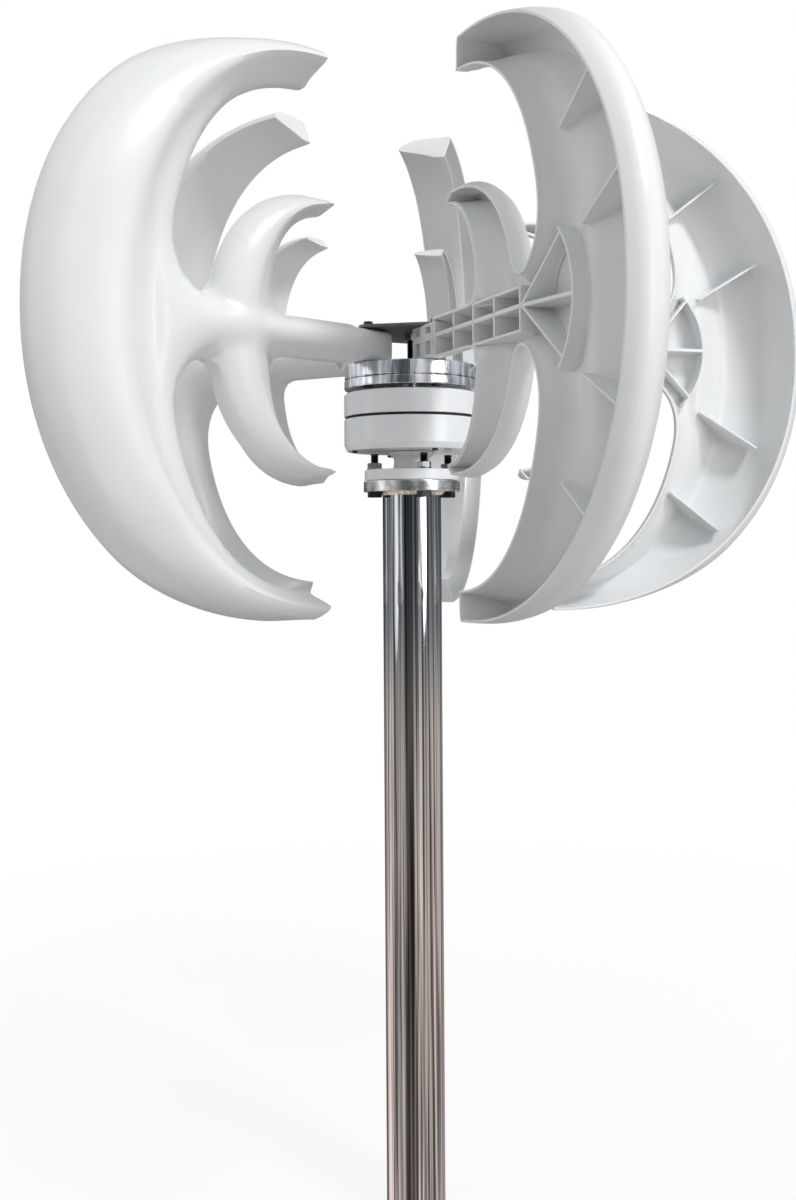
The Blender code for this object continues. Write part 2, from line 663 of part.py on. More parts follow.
def zero_line(step):
    """The blade's outline as one closed loop of points, anticlockwise."""
    xs = np.arange(SHELL_START - 5 * step, OUTER_EDGE[0] + OUTER_EDGE[1] + 5 * step, step)
    zs = np.arange(-OUTER_EDGE[2] - 5 * step, OUTER_EDGE[2] + 5 * step, step)
    field = blade_field(xs[:, None], zs[None, :])
    links = {}
    inside = field > 0
    cells = inside[:-1, :-1].astype(int) + inside[1:, :-1] + inside[:-1, 1:] + inside[1:, 1:]
    for i, j in np.argwhere((cells > 0) & (cells < 4)).tolist():
        corners = [(i, j), (i + 1, j), (i + 1, j + 1), (i, j + 1)]
        leaving, entering = [], []
        for a, b in zip(corners, corners[1:] + corners[:1]):
            if inside[a] != inside[b]:
                (leaving if inside[a] else entering).append(tuple(sorted((a, b))))
        links.update(zip(leaving, entering))
    loops = []
    while links:
        first = next(iter(links))
        loop, here = [], first
        while here in links:
            loop.append(here)
            here = links.pop(here)
        loops.append(loop)
    loop = max(loops, key=len)
    points = []
    for a, b in loop:
        fa, fb = field[a], field[b]
        t = fa / (fa - fb)
        points.append((xs[a[0]] + t * (xs[b[0]] - xs[a[0]]), zs[a[1]] + t * (zs[b[1]] - zs[a[1]])))
    points = np.array(points)
    x, z = points.T
    if (x * np.roll(z, -1) - np.roll(x, -1) * z).sum() < 0:
        points = points[::-1]
    return points


def simplified(points, tolerance, shortest, longest):
    """A closed loop with few points: it stays within tolerance, and its steps between shortest and longest."""
    start = int(np.argmin(points[:, 0]))
    points = np.roll(points, -start, axis=0)
    keep = {0, len(points) // 2}
    stack = [(0, len(points) // 2), (len(points) // 2, len(points))]
    closed = np.vstack([points, points[:1]])
    while stack:
        a, b = stack.pop()
        if b - a < 2:
            continue
        chord = closed[b] - closed[a]
        length = max(float(np.hypot(*chord)), 1e-9)
        offset = closed[a + 1 : b] - closed[a]
        away = np.abs(offset[:, 0] * chord[1] - offset[:, 1] * chord[0]) / length
        worst = int(np.argmax(away))
        if away[worst] > tolerance:
            middle = a + 1 + worst
        elif length > longest:
            middle = (a + b) // 2
        else:
            continue
        keep.add(middle)
        stack += [(a, middle), (middle, b)]
    kept = points[sorted(keep)]
    gaps = np.linalg.norm(kept - np.roll(kept, 1, axis=0), axis=1)
    return kept[gaps > shortest]


def loop_normals(points):
    """Inward normals of an anticlockwise loop."""
    before, after = points - np.roll(points, 1, axis=0), np.roll(points, -1, axis=0) - points
    before /= np.linalg.norm(before, axis=1)[:, None]
    after /= np.linalg.norm(after, axis=1)[:, None]
    tangent = before + after
    tangent /= np.linalg.norm(tangent, axis=1)[:, None]
    return np.stack([-tangent[:, 1], tangent[:, 0]], axis=1)


def edge_point(edge, turn):
    """The point of a superellipse edge at a turn from its widest point."""
    centre, half_width, half_height, power = edge
    along, up = abs(math.cos(turn)) ** (2 / power), abs(math.sin(turn)) ** (2 / power)
    return np.array([centre + half_width * along, math.copysign(half_height * up, turn)])


def flow_points(spacing, shares):
    """Points inside the outline, in rows that run along the crescents and the arm, then a lattice between them."""
    wanted = [(x, ARM_MIDDLE) for x in np.arange(SHELL_START + 0.8 * spacing, ARM_END + spacing, spacing)]
    for outer_edge, inner_edge in ((OUTER_EDGE, INNER_EDGE), (SMALL_OUTER_EDGE, SMALL_INNER_EDGE)):
        count = round(math.pi / 2 * (outer_edge[2] + inner_edge[1]) / 2 / spacing)
        for share in shares:
            for turn in np.arange(-count, count + 1) / count * math.pi / 2:
                across = edge_point(outer_edge, turn) * share + edge_point(inner_edge, turn) * (1 - share)
                wanted.append(tuple(across))
    row_height = spacing * math.sqrt(3) / 2
    rows = int(OUTER_EDGE[2] / row_height)
    for row in range(-rows, rows + 1):
        start = ROOT_START + (row % 2) * spacing / 2
        wanted += [(x, row * row_height) for x in np.arange(start, OUTER_EDGE[0] + OUTER_EDGE[1], spacing)]
    wanted = np.array(wanted)
    wanted = wanted[blade_field(*wanted.T) > SEAT_INSET[1] + 0.2 * spacing]
    kept = wanted[:0]
    for point in wanted:
        if not len(kept) or np.hypot(*(kept - point).T).min() > 0.7 * spacing:
            kept = np.vstack([kept, point])
    return kept


def shell(thickness, step, tolerance, shortest, longest, spacing, shares):
    """The blade's moulded shell: an outer and an inner skin with the same triangles, joined round the open edge."""
    outline = simplified(zero_line(step), tolerance, shortest, longest)
    n = len(outline)
    inward = loop_normals(outline)
    near_large = smooth_step(1 - np.abs(inside_edge(*outline.T, OUTER_EDGE)) / OUTER_BAND)
    last_inset = SEAT_INSET[0] + (SEAT_INSET[1] - SEAT_INSET[0]) * near_large
    seat = outline + inward * last_inset[:, None]
    near_small = smooth_step(1 - np.abs(inside_edge(*outline.T, SMALL_OUTER_EDGE)) / SMALL_BAND)
    near_small = near_small * smooth_step((np.abs(outline[:, 1]) - SMALL_BAND_LOW) / SMALL_BAND_RISE)
    fade = smooth_step((BULGE_TOP - np.abs(outline[:, 1])) / BULGE_FADE)
    fade = fade * smooth_step(beyond_cut(*outline.T, TIP_CUT) / BULGE_TIP_FADE)
    swell = np.maximum(BULGE * near_large * fade, SMALL_BULGE * near_small)
    edge_y = rim_y(*outline.T)

    inner_points = flow_points(spacing, shares)
    made = delaunay_2d_cdt([Vector(p) for p in np.vstack([seat, inner_points])], [], [list(range(n))], 1, 1e-7)
    sheet, triangles = made[0], np.array(made[2])
    assert len(sheet) == n + len(inner_points), "the blade's inset outline crosses itself"

    # The triangles come anticlockwise in (x, z), which faces -Y, so they are turned round to face the closed side.
    last_ring = (len(WALL_RINGS) - 1) * n
    faces = [(triangles + last_ring)[:, ::-1]]
    here = np.arange(n)
    after = np.roll(here, -1)
    for upper in range(0, last_ring, n):
        lower = upper + n
        faces.append(np.stack([upper + here, lower + here, upper + after], axis=1))
        faces.append(np.stack([upper + after, lower + here, lower + after], axis=1))
    faces = np.vstack(faces)

    def skin_points(in_by, drop, inner_y):
        """The wall's rings and then the back's points, with the wall moved in by a thickness."""
        rows = []
        for share, bulge, inset in WALL_RINGS:
            flat = outline + inward * (last_inset * inset - swell * bulge + in_by)[:, None]
            rows.append(np.stack([flat[:, 0], edge_y + drop * share, flat[:, 1]], axis=1))
        rows.append(np.stack([inner_points[:, 0], inner_y, inner_points[:, 1]], axis=1))
        return np.vstack(rows)

    outer_y = rim_y(*inner_points.T) + blade_depth(*inner_points.T)
    outside = skin_points(0, blade_depth(*seat.T), outer_y)
    skin = BVHTree.FromPolygons([Vector(p) for p in outside], faces.tolist())

    # Inside, the back lies a wall thickness nearer the open side, measured square to the outer facets.
    across = np.cross(outside[faces[:, 1]] - outside[faces[:, 0]], outside[faces[:, 2]] - outside[faces[:, 0]])
    slant = np.minimum(np.linalg.norm(across, axis=1) / np.maximum(np.abs(across[:, 1]), 1e-12), STEEPEST)
    steepest = np.ones(len(outside))
    for k in range(3):
        np.maximum.at(steepest, faces[: len(triangles), k], slant[: len(triangles)])
    inner_y = np.maximum(outer_y - thickness * steepest[last_ring + n :], rim_y(*inner_points.T) + MM / 2)
    foot_points = outline + inward * (last_inset + thickness)[:, None]
    drop = []
    for (x, z), top in zip(foot_points, edge_y):
        hit, normal = skin.ray_cast(Vector((x, SKIN_BEHIND, z)), Vector((0, -1, 0)))[:2]
        drop.append(max(hit.y - thickness * min(1 / abs(normal.y), STEEPEST) - top, MM / 3))
    inside = skin_points(thickness, np.array(drop), inner_y)

    total = len(outside)
    rim = [np.stack([after, total + after, here], axis=1), np.stack([here, total + after, total + here], axis=1)]
    return np.vstack([outside, inside]), np.vstack([faces, faces[:, ::-1] + total, *rim]), skin


def rib_mesh(path, tops, thickness, skin, bite):
    """An upright web along a path of (x, z) points, from its top edge down into the skin, by a share of the wall."""
    path = np.array(path, float)
    along = np.gradient(path, axis=0)
    along /= np.linalg.norm(along, axis=1)[:, None]
    side = np.stack([-along[:, 1], along[:, 0]], axis=1) * thickness / 2
    rows = []
    for (x, z), (sx, sz), top in zip(path, side, tops):
        starts = [Vector((x + k * sx, SKIN_BEHIND, z + k * sz)) for k in (-1, 0, 1)]
        hits = [skin.ray_cast(start, Vector((0, -1, 0)))[0] for start in starts]
        floor = max(min(hit.y for hit in hits if hit) - bite * WALL, top + MM)
        rows.append([(x + sx, top, z + sz), (x - sx, top, z - sz), (x - sx, floor, z - sz), (x + sx, floor, z + sz)])
    points = [p for row in rows for p in row]
    last = len(points) - 4
    faces = [(3, 2, 1, 0), (last, last + 1, last + 2, last + 3)]
    for i in range(0, last, 4):
        faces += [(i + k, i + (k + 1) % 4, i + 4 + (k + 1) % 4, i + 4 + k) for k in range(4)]
    return points, faces


def straight(start, end):
    pieces = max(3, round(math.dist(start, end) / RIB_STEP))
    return [
        (start[0] + (end[0] - start[0]) * i / pieces, start[1] + (end[1] - start[1]) * i / pieces)
        for i in range(pieces + 1)
    ]


def arc_point(angle_deg):
    angle = math.radians(angle_deg)
    return ARC_CENTRE[0] + ARC_RADIUS * math.cos(angle), ARC_CENTRE[1] + ARC_RADIUS * math.sin(angle)


def blade_ribs(skin):
    """Every rib of one blade: the arm's ladder, the star, the arc and the gussets."""
    lines = []
    small_inner = SMALL_INNER_EDGE[0] + SMALL_INNER_EDGE[1]
    for side in (1, -1):
        height = ARM_MIDDLE + side * (ARM_HALF - RIB / 2)
        lines.append((straight((small_inner - 12 * MM, height), (STAR[0], height)), RIB_TOP_Y, RIB_TOP_Y, RIB))
    spine_start, spine_end = ROOT_END - 6 * MM, STAR[0] + MID_RIB / 2
    lines.append((straight((spine_start, STAR[1]), (spine_end, STAR[1])), RIB_TOP_Y, RIB_TOP_Y, MID_RIB))
    lines.append((straight(STAR, (arc_point(0)[0] - MM, STAR[1])), RIB_TOP_Y - 0.3 * MM, ARC_TOP_Y, 0.9 * MID_RIB))
    for x in CROSS_RIBS:
        line = straight((x, ARM_MIDDLE - ARM_HALF + MM), (x, ARM_MIDDLE + ARM_HALF - MM))
        lines.append((line, RIB_TOP_Y + 0.6 * MM, RIB_TOP_Y + 0.6 * MM, RIB))
    for angle in STAR_RIB_DEG:
        lines.append((straight(STAR, arc_point(angle)), RIB_TOP_Y + 0.3 * MM, ARC_TOP_Y + 0.3 * MM, RIB))
    arc = [arc_point(a) for a in np.linspace(-ARC_HALF_DEG, ARC_HALF_DEG, 15)]
    lines.append((arc, ARC_TOP_Y - 0.5 * MM, ARC_TOP_Y - 0.5 * MM, RIB))
    for side in (1, -1):
        for (foot_x, foot_z), (top_x, top_z) in GUSSETS:
            line = straight((foot_x * MM, side * foot_z * MM), (top_x * MM, side * top_z * MM))
            lines.append((line, GUSSET_TOP_Y, GUSSET_TOP_Y, RIB))
    # Each rib bites a little deeper than the last, so that no two end on the same plane.
    return [
        rib_mesh(line, np.linspace(start, end, len(line)), thickness, skin, RIB_BITE + RIB_BITE_STEP * i)
        for i, (line, start, end, thickness) in enumerate(lines)
    ]


points, faces, skin = shell(WALL, 2 * MM, OUTLINE_TOLERANCE, *OUTLINE_STEPS, SKIN_STEP, SKIN_ROWS)
blade = solid("blade_1", points, faces.tolist(), "blade_plastic")
for rib in blade_ribs(skin):
    boolean(blade, rib, "UNION")

# The root is solid where the bolt passes, and the bolt's hole goes right through it.
root_outline = [
    (ROOT_START - ROOT_COVER, RIM_Y - ROOT_COVER),
    (ROOT_END, RIM_Y - ROOT_COVER),
    (ROOT_END, ROOT_BACK_Y),
    (ROOT_START - ROOT_COVER, ROOT_BACK_Y),
]
boolean(blade, prism(root_outline, ROOT_LOW, ROOT_HIGH), "UNION")
blade_hole = prism(circle(BOLT_HOLE, BOLT_ROUND), ROOT_LOW - OVERSHOOT, ROOT_HIGH + OVERSHOOT)
boolean(blade, blade_hole, "DIFFERENCE", Matrix.Translation((BLADE_BOLT_RADIUS, 0, 0)))

for i, azimuth in enumerate(azimuths):
    copy = blade
    if i:
        copy = bpy.data.objects.new(f"blade_{i + 1}", blade.data.copy())
        copy.data.materials.clear()
        copy.data.materials.append(material(copy.name, *FINISHES["blade_plastic"]))
        bpy.context.scene.collection.objects.link(copy)
    copy.matrix_world = at(azimuth, 0, HUB_HEIGHT)
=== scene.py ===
import math
from functools import partial

import bpy
import numpy as np
from mathutils import Matrix, Vector
from mathutils.bvhtree import BVHTree
from mathutils.geometry import delaunay_2d_cdt


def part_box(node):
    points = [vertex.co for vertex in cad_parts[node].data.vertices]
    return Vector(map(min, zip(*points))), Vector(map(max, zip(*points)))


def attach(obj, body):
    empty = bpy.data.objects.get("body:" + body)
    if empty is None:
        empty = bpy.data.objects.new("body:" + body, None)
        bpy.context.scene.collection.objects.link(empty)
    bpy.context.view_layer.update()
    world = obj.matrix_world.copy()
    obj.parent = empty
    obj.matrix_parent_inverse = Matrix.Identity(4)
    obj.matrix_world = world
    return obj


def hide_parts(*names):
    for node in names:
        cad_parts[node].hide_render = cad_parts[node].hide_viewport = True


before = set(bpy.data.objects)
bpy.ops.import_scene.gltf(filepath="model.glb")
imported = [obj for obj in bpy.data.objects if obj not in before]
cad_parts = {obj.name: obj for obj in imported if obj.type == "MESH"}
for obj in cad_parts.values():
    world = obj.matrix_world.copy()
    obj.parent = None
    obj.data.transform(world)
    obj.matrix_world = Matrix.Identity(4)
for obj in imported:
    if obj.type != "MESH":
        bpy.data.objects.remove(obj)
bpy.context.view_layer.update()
MM = 0.001
GAP = 0.3 * MM  # the gap left between pieces that touch


# The mast: a round stainless steel tube, drawn and then polished to a mirror. Long, faint waves from the
# drawing run down it, so that what it reflects breaks into upright streaks. Its colour also holds painted
# dark and bright upright reflection streaks.

MAST_WALL = 2.5 * MM
STREAK_WIDTH = 2.5 * MM  # one wave round the tube
STREAK_LENGTH = 420 * MM


def linear(hex_colour):
    """A linear colour from an sRGB hex value."""
    parts = [int(hex_colour[i : i + 2], 16) / 255 for i in (0, 2, 4)]
    return (*[c / 12.92 if c <= 0.04045 else ((c + 0.055) / 1.055) ** 2.4 for c in parts], 1.0)


def set_inputs(node, inputs):
    """Sets a node's inputs, each to a value, a hex colour, an output socket or a node's first output."""
    for name, value in inputs.items():
        if isinstance(value, str):
            value = linear(value)
        if isinstance(value, bpy.types.Node):
            value = value.outputs[0]
        if isinstance(value, bpy.types.NodeSocket):
            node.id_data.links.new(value, node.inputs[name])
        else:
            node.inputs[name].default_value = value


def add_node(tree, kind, inputs=None, **settings):
    """Adds a shader node with its settings and inputs."""
    made = tree.nodes.new("ShaderNode" + kind)
    for name, value in settings.items():
        setattr(made, name, value)
    set_inputs(made, inputs or {})
    return made


def new_finish(name, colour, metallic, roughness):
    """A material with plain values, and what to build on: its add function, shader and coordinates."""
    made = bpy.data.materials.new(name)
    made.use_nodes = True
    add = partial(add_node, made.node_tree)
    shader = made.node_tree.nodes["Principled BSDF"]
    set_inputs(shader, {"Base Color": colour, "Metallic": metallic, "Roughness": roughness})
    return made, add, shader, add("TexCoord").outputs["Object"]


def scales(across, up):
    """A pattern's scale on each axis, from the sizes it has across the mast's axis and along it."""
    return 1 / across, 1 / across, 1 / up


def ring_profile(inner, outer, low, high):
    return [(inner, low), (outer, low), (outer, high), (inner, high)]


def eased(profile, radius, steps=3):
    """A closed (radius, height) profile with each corner eased by an arc."""
    made = []
    for i, corner in enumerate(profile):
        here = Vector(corner)
        back, on = Vector(profile[i - 1]) - here, Vector(profile[(i + 1) % len(profile)]) - here
        reach = min(radius, back.length * 0.45, on.length * 0.45)
        start, end = here + back.normalized() * reach, here + on.normalized() * reach
        if corner[0] == 0 or back.angle(on) > math.radians(170):
            made.append(tuple(here))
            continue
        for k in range(steps + 1):
            t = k / steps
            made.append(tuple(start * (1 - t) ** 2 + here * 2 * t * (1 - t) + end * t**2))
    return made


def turned(profile, sides):
    """Points and faces of a closed profile turned about Z. The profile runs anticlockwise."""
    points, faces, rows = [], [], []
    for radius, height in profile:
        if radius == 0:
            rows.append([len(points)] * sides)
            points.append((0, 0, height))
            continue
        rows.append(list(range(len(points), len(points) + sides)))
        for i in range(sides):
            turn = 2 * math.pi * i / sides
            points.append((radius * math.cos(turn), radius * math.sin(turn), height))
    for a, b in zip(rows, rows[1:] + rows[:1]):
        for i in range(sides):
            j = (i + 1) % sides
            corners = list(dict.fromkeys([a[i], a[j], b[j], b[i]]))
            if len(corners) > 2:
                faces.append(corners)
    return points, faces


def placed(name, data):
    """A new object in the scene."""
    made = bpy.data.objects.new(name, data)
    bpy.context.scene.collection.objects.link(made)
    return made


def piece(name, points, faces, finish, body, slot, *stands_for, place=None):
    """A mesh piece that rides on a CAD body, stands for CAD nodes and takes a finish; its slot is not used.
    """
    mesh = bpy.data.meshes.new(name)
    mesh.from_pydata([tuple(p) for p in points], [], [tuple(f) for f in faces])
    if place is not None:
        mesh.transform(place)
    mesh.update()
    mesh.shade_smooth()
    mesh.set_sharp_from_angle(angle=math.radians(50))
    mesh.materials.append(finish)
    made = placed(name, mesh)
    weighted = made.modifiers.new("weighted normals", "WEIGHTED_NORMAL")
    weighted.keep_sharp = True
    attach(made, body)
    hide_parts(*stands_for)
    return made


finish_name = "stainless steel, drawn and mirror polished"
mast_steel, add, shader, coordinates = new_finish(finish_name, "D3D2CF", 1.0, 0.05)
long_waves = add("Mapping", {"Vector": coordinates, "Scale": scales(STREAK_WIDTH, STREAK_LENGTH)})
waves = add("TexNoise", {"Vector": long_waves, "Scale": 0.5, "Detail": 4.0})
wave_bump = add("Bump", {"Height": waves, "Strength": 0.20, "Distance": 0.5 * MM})
polish_and_painted_streaks = add("TexNoise", {"Vector": long_waves, "Scale": 1.0, "Detail": 5.0})
polish_range = add("MapRange", {"Value": polish_and_painted_streaks, "To Min": 0.03, "To Max": 0.10})
# Painted reflection: the colour swings between dark and bright upright streaks along the tube.
painted_streak_share = add("MapRange", {"Value": polish_and_painted_streaks, "From Min": 0.40, "From Max": 0.58})
painted_reflection_streaks = add("MixRGB", {"Fac": painted_streak_share, "Color1": "5A5B5E", "Color2": "E9E8E5"})
set_inputs(shader, {"Base Color": painted_reflection_streaks, "Normal": wave_bump, "Roughness": polish_range})

low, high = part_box("mast_tube")
mast_radius = high.x
mast_profile = ring_profile(mast_radius - MAST_WALL, mast_radius, low.z, high.z)
mast_tube = turned(eased(mast_profile, 0.6 * MM), 160)
piece("mast_tube_polished", *mast_tube, mast_steel, "mast", "mast_steel", "mast_tube")


# The mast's flange: a thick ring cut from stainless plate, turned on its edge and welded to the tube's end.
# Its edge is bright, and the fillet of the weld shows underneath.

FLANGE_BORE = 20 * MM
WELD = 3.5 * MM
WELD_GAP = 0.05 * MM
WELD_RIPPLES, WELD_RIPPLE = 90, 0.5 * MM  # about 2 mm apart round the tube
TURNING_MARK, MARK_LENGTH = 0.4 * MM, 33.3 * MM
BRIGHT_PATCH = 22.2 * MM

# Turned steel is bright but no mirror: fine rings blur what it reflects, and handling leaves dull patches.
flange_steel, add, shader, coordinates = new_finish("stainless steel, turned", "DDDDDA", 1.0, 0.22)
flattened = add("Mapping", {"Vector": coordinates, "Scale": scales(MARK_LENGTH, TURNING_MARK)})
tool_marks = add("TexNoise", {"Vector": flattened, "Scale": 1.0, "Detail": 4.0})
mark_bump = add("Bump", {"Height": tool_marks, "Strength": 0.25, "Distance": 0.15 * MM})
mark_range = add("MapRange", {"Value": tool_marks, "To Min": 0.16, "To Max": 0.34})
patches = add("TexNoise", {"Vector": coordinates, "Scale": 1 / BRIGHT_PATCH, "Detail": 3.0})
patch_share = add("MapRange", {"Value": patches, "From Min": 0.40, "From Max": 0.60})
patch_colour = add("MixRGB", {"Fac": patch_share, "Color1": "9B9B98", "Color2": "F2F2EE"})
set_inputs(shader, {"Base Color": patch_colour, "Normal": mark_bump, "Roughness": mark_range})

low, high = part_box("mast_flange")
flange_radius, flange_low, flange_high = high.x, low.z, high.z
flange_profile = [
    (FLANGE_BORE, flange_low),
    (mast_radius + WELD, flange_low),
    (flange_radius, flange_low),
    (flange_radius, flange_high),
    (FLANGE_BORE, flange_high),
]
flange = turned(eased(flange_profile, 0.9 * MM), 128)
piece("mast_flange_ring", *flange, flange_steel, "mast", "mast_steel", "mast_flange")
weld_inner, weld_top = mast_radius + WELD_GAP, flange_low - WELD_GAP
weld_profile = [
    (weld_inner, weld_top - WELD),
    (mast_radius + 0.45 * WELD, weld_top - 0.55 * WELD),
    (mast_radius + WELD, weld_top),
    (weld_inner, weld_top),
]
weld_points, weld_faces = turned(weld_profile, 240)
for i, (x, y, z) in enumerate(weld_points):
    ripple = 1 + WELD_RIPPLE * math.sin(math.atan2(y, x) * WELD_RIPPLES) / mast_radius
    weld_points[i] = (x * ripple, y * ripple, z)
piece("mast_weld", weld_points, weld_faces, flange_steel, "mast", "mast_steel")


# The generator's foot: a cast aluminium flange with a stepped neck, turned and then coated white. Four bolts
# hold it down on the mast's flange.

NECK_RADIUS, NECK_FILLET = 18 * MM, 3 * MM
NECK_STEP_RADIUS = 23.6 * MM
NECK_STEP_HEIGHT = 22.5 * MM  # above the flange's lower face, where the neck starts to widen
NECK_CONE = 4.5 * MM
FOOT_THICKNESS = 11 * MM
CABLE_BORE = 8 * MM
PEEL, CLOUD = 1.4 * MM, 71.4 * MM  # the coating's orange peel, and its slow changes of tone

# Powder coat has an even, soft gloss, and its orange peel breaks up the edges of what it reflects.
white_coat, add, shader, coordinates = new_finish("aluminium, white powder coat", "E4E6E8", 0.0, 0.30)
set_inputs(shader, {"Coat Weight": 0.35, "Coat Roughness": 0.12})
peel = add("TexNoise", {"Vector": coordinates, "Scale": 1 / PEEL, "Detail": 2.0})
peel_bump = add("Bump", {"Height": peel, "Strength": 0.10, "Distance": 0.1 * MM})
cloud = add("TexNoise", {"Vector": coordinates, "Scale": 1 / CLOUD, "Detail": 5.0})
coat_colour = add("MixRGB", {"Fac": cloud, "Color1": "E6E8EB", "Color2": "F1F3F4"})
set_inputs(shader, {"Base Color": coat_colour, "Normal": peel_bump})

low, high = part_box("foot_flange")
foot_radius, foot_low, foot_high = high.x, low.z, high.z
foot_top = foot_low + FOOT_THICKNESS
foot_profile = [
    (CABLE_BORE, foot_low),
    (foot_radius, foot_low),
    (foot_radius, foot_top),
    (NECK_RADIUS + NECK_FILLET, foot_top),
    (NECK_RADIUS, foot_top + NECK_FILLET),
    (NECK_RADIUS, foot_low + NECK_STEP_HEIGHT),
    (NECK_STEP_RADIUS, foot_low + NECK_STEP_HEIGHT + NECK_CONE),
    (NECK_STEP_RADIUS, foot_high),
    (CABLE_BORE, foot_high),
]
foot = turned(eased(foot_profile, 1.2 * MM), 128)
piece("foot_flange_cast", *foot, white_coat, "mast", "housing_paint", "foot_flange")


# The flange bolts: M8 hex bolts of blackened steel, put in from below, each with a zinc plated nut on the
# white flange and some thread standing out above it. Heads and nuts are forged, with chamfered corners.

FLANGE_BOLT_RADIUS = 39.5 * MM
FIRST_FLANGE_BOLT_DEG = 18
M8_RADIUS, M8_PITCH, M8_FLATS = 4 * MM, 1.25 * MM, 13 * MM
M8_WASHER_RADIUS, WASHER_THICKNESS = 8 * MM, 1.0 * MM
CHAMFER_SLOPE = math.tan(math.radians(30))
OXIDE_SPOT, SPANGLE = 1.5 * MM, 2.5 * MM

# Oiled black oxide has a dull, patchy shine, and bright zinc plating looks cloudy and silvery.
black_steel, add, shader, coordinates = new_finish("steel, blackened and oiled", "3A3B3E", 1.0, 0.38)
oxide = add("TexNoise", {"Vector": coordinates, "Scale": 1 / OXIDE_SPOT, "Detail": 4.0})
black_colour = add("MixRGB", {"Fac": oxide, "Color1": "2E2F33", "Color2": "55565A"})
black_range = add("MapRange", {"Value": oxide, "To Min": 0.25, "To Max": 0.5})
set_inputs(shader, {"Base Color": black_colour, "Roughness": black_range})

zinc_steel, add, shader, coordinates = new_finish("steel, zinc plated", "A3A5A7", 1.0, 0.32)
spangle = add("TexNoise", {"Vector": coordinates, "Scale": 1 / SPANGLE, "Detail": 3.0})
zinc_colour = add("MixRGB", {"Fac": spangle, "Color1": "84868A", "Color2": "C2C3C4"})
zinc_range = add("MapRange", {"Value": spangle, "To Min": 0.22, "To Max": 0.45})
set_inputs(shader, {"Base Color": zinc_colour, "Roughness": zinc_range})


def hex_turned(rows, sides=48):
    """A turned form from rows of (half size, height, hex). A hex row is a hexagon whose corners fall back."""
    points, faces = [], []
    for half, height, hex_fall in rows:
        for i in range(sides):
            turn = 2 * math.pi * i / sides
            if hex_fall is None:
                radius, z = half, height
            else:
                from_flat = (turn + math.pi / 6) % (math.pi / 3) - math.pi / 6
                radius = half / math.cos(from_flat)
                z = height + (radius - half) * hex_fall
            points.append((radius * math.cos(turn), radius * math.sin(turn), z))
    for start in range(0, (len(rows) - 1) * sides, sides):
        for i in range(sides):
            j = (i + 1) % sides
            faces.append((start + i, start + j, start + sides + j, start + sides + i))
    faces.append(tuple(range(sides - 1, -1, -1)))
    faces.append(tuple(range(len(points) - sides, len(points))))
    return points, faces


def hex_head(flats, low, high, chamfer_low=False):
    """Rows of a hex head or nut, chamfered at its outer end, or at both ends."""
    half = flats / 2
    bottom = [(half * 0.94, low, None), (half, low, CHAMFER_SLOPE)] if chamfer_low else [(half, low, 0)]
    return bottom + [(half, high, -CHAMFER_SLOPE), (half * 0.94, high, None)]


def threaded(radius, pitch, low, high, depth=0.55):
    """A closed profile of a threaded bar's end: V-shaped ridges, a pitch apart, and a bevelled end."""
    made = [(0, low), (radius, low)]
    height = low + pitch / 2
    while height < high - pitch * 1.5:
        made += [(radius - depth * pitch, height), (radius, height + pitch / 2)]
        height += pitch
    return made + [(radius, high - depth * pitch), (radius - depth * pitch, high), (0, high)]


def merged(*meshes):
    """Several meshes' points and faces as one."""
    points, faces = [], []
    for more_points, more_faces in meshes:
        start = len(points)
        points += [tuple(p) for p in more_points]
        faces += [tuple(start + i for i in face) for face in more_faces]
    return points, faces


def at(azimuth_deg, radius, height=0.0):
    """The place of a piece made on the Z axis, at an azimuth from -Y towards +X."""
    return Matrix.Rotation(math.radians(azimuth_deg - 90), 4, "Z") @ Matrix.Translation((radius, 0, height))


for i in range(4):
    bolt_node, nut_node = f"flange_bolt_{i + 1}", f"flange_nut_{i + 1}"
    bolt_low, bolt_high = (corner.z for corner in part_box(bolt_node))
    nut_low, nut_high = (corner.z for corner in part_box(nut_node))
    place = at(FIRST_FLANGE_BOLT_DEG + 90 * i, FLANGE_BOLT_RADIUS)
    upturned = hex_head(M8_FLATS, GAP - flange_low, -bolt_low)
    head = hex_turned([(half, -z, fall and -fall) for half, z, fall in reversed(upturned)])
    shank = turned(threaded(M8_RADIUS, M8_PITCH, bolt_low + MM, bolt_high), 40)
    piece(f"{bolt_node}_hex", *merged(head, shank), black_steel, "mast", "bolt_steel", bolt_node, place=place)
    washer_top = nut_low + WASHER_THICKNESS
    washer = turned(eased(ring_profile(M8_RADIUS, M8_WASHER_RADIUS, nut_low, washer_top), 0.2 * MM), 48)
    nut = hex_turned(hex_head(M8_FLATS, washer_top, nut_high, chamfer_low=True))
    piece(f"{nut_node}_hex", *merged(washer, nut), zinc_steel, "mast", "bolt_steel", nut_node, place=place)


# The generator's drum: two cast aluminium cups, turned and coated white, that close on a thin dark seal. The
# lower cup has a bevelled edge with small socket screws under it.

DRUM_BEVEL = 3 * MM
DRUM_WALL = 5 * MM
SEAM = 2.6 * MM  # what the seal and its two gaps take
BEARING_SEAT = 21.3 * MM
BEARING_HEIGHT = 11 * MM

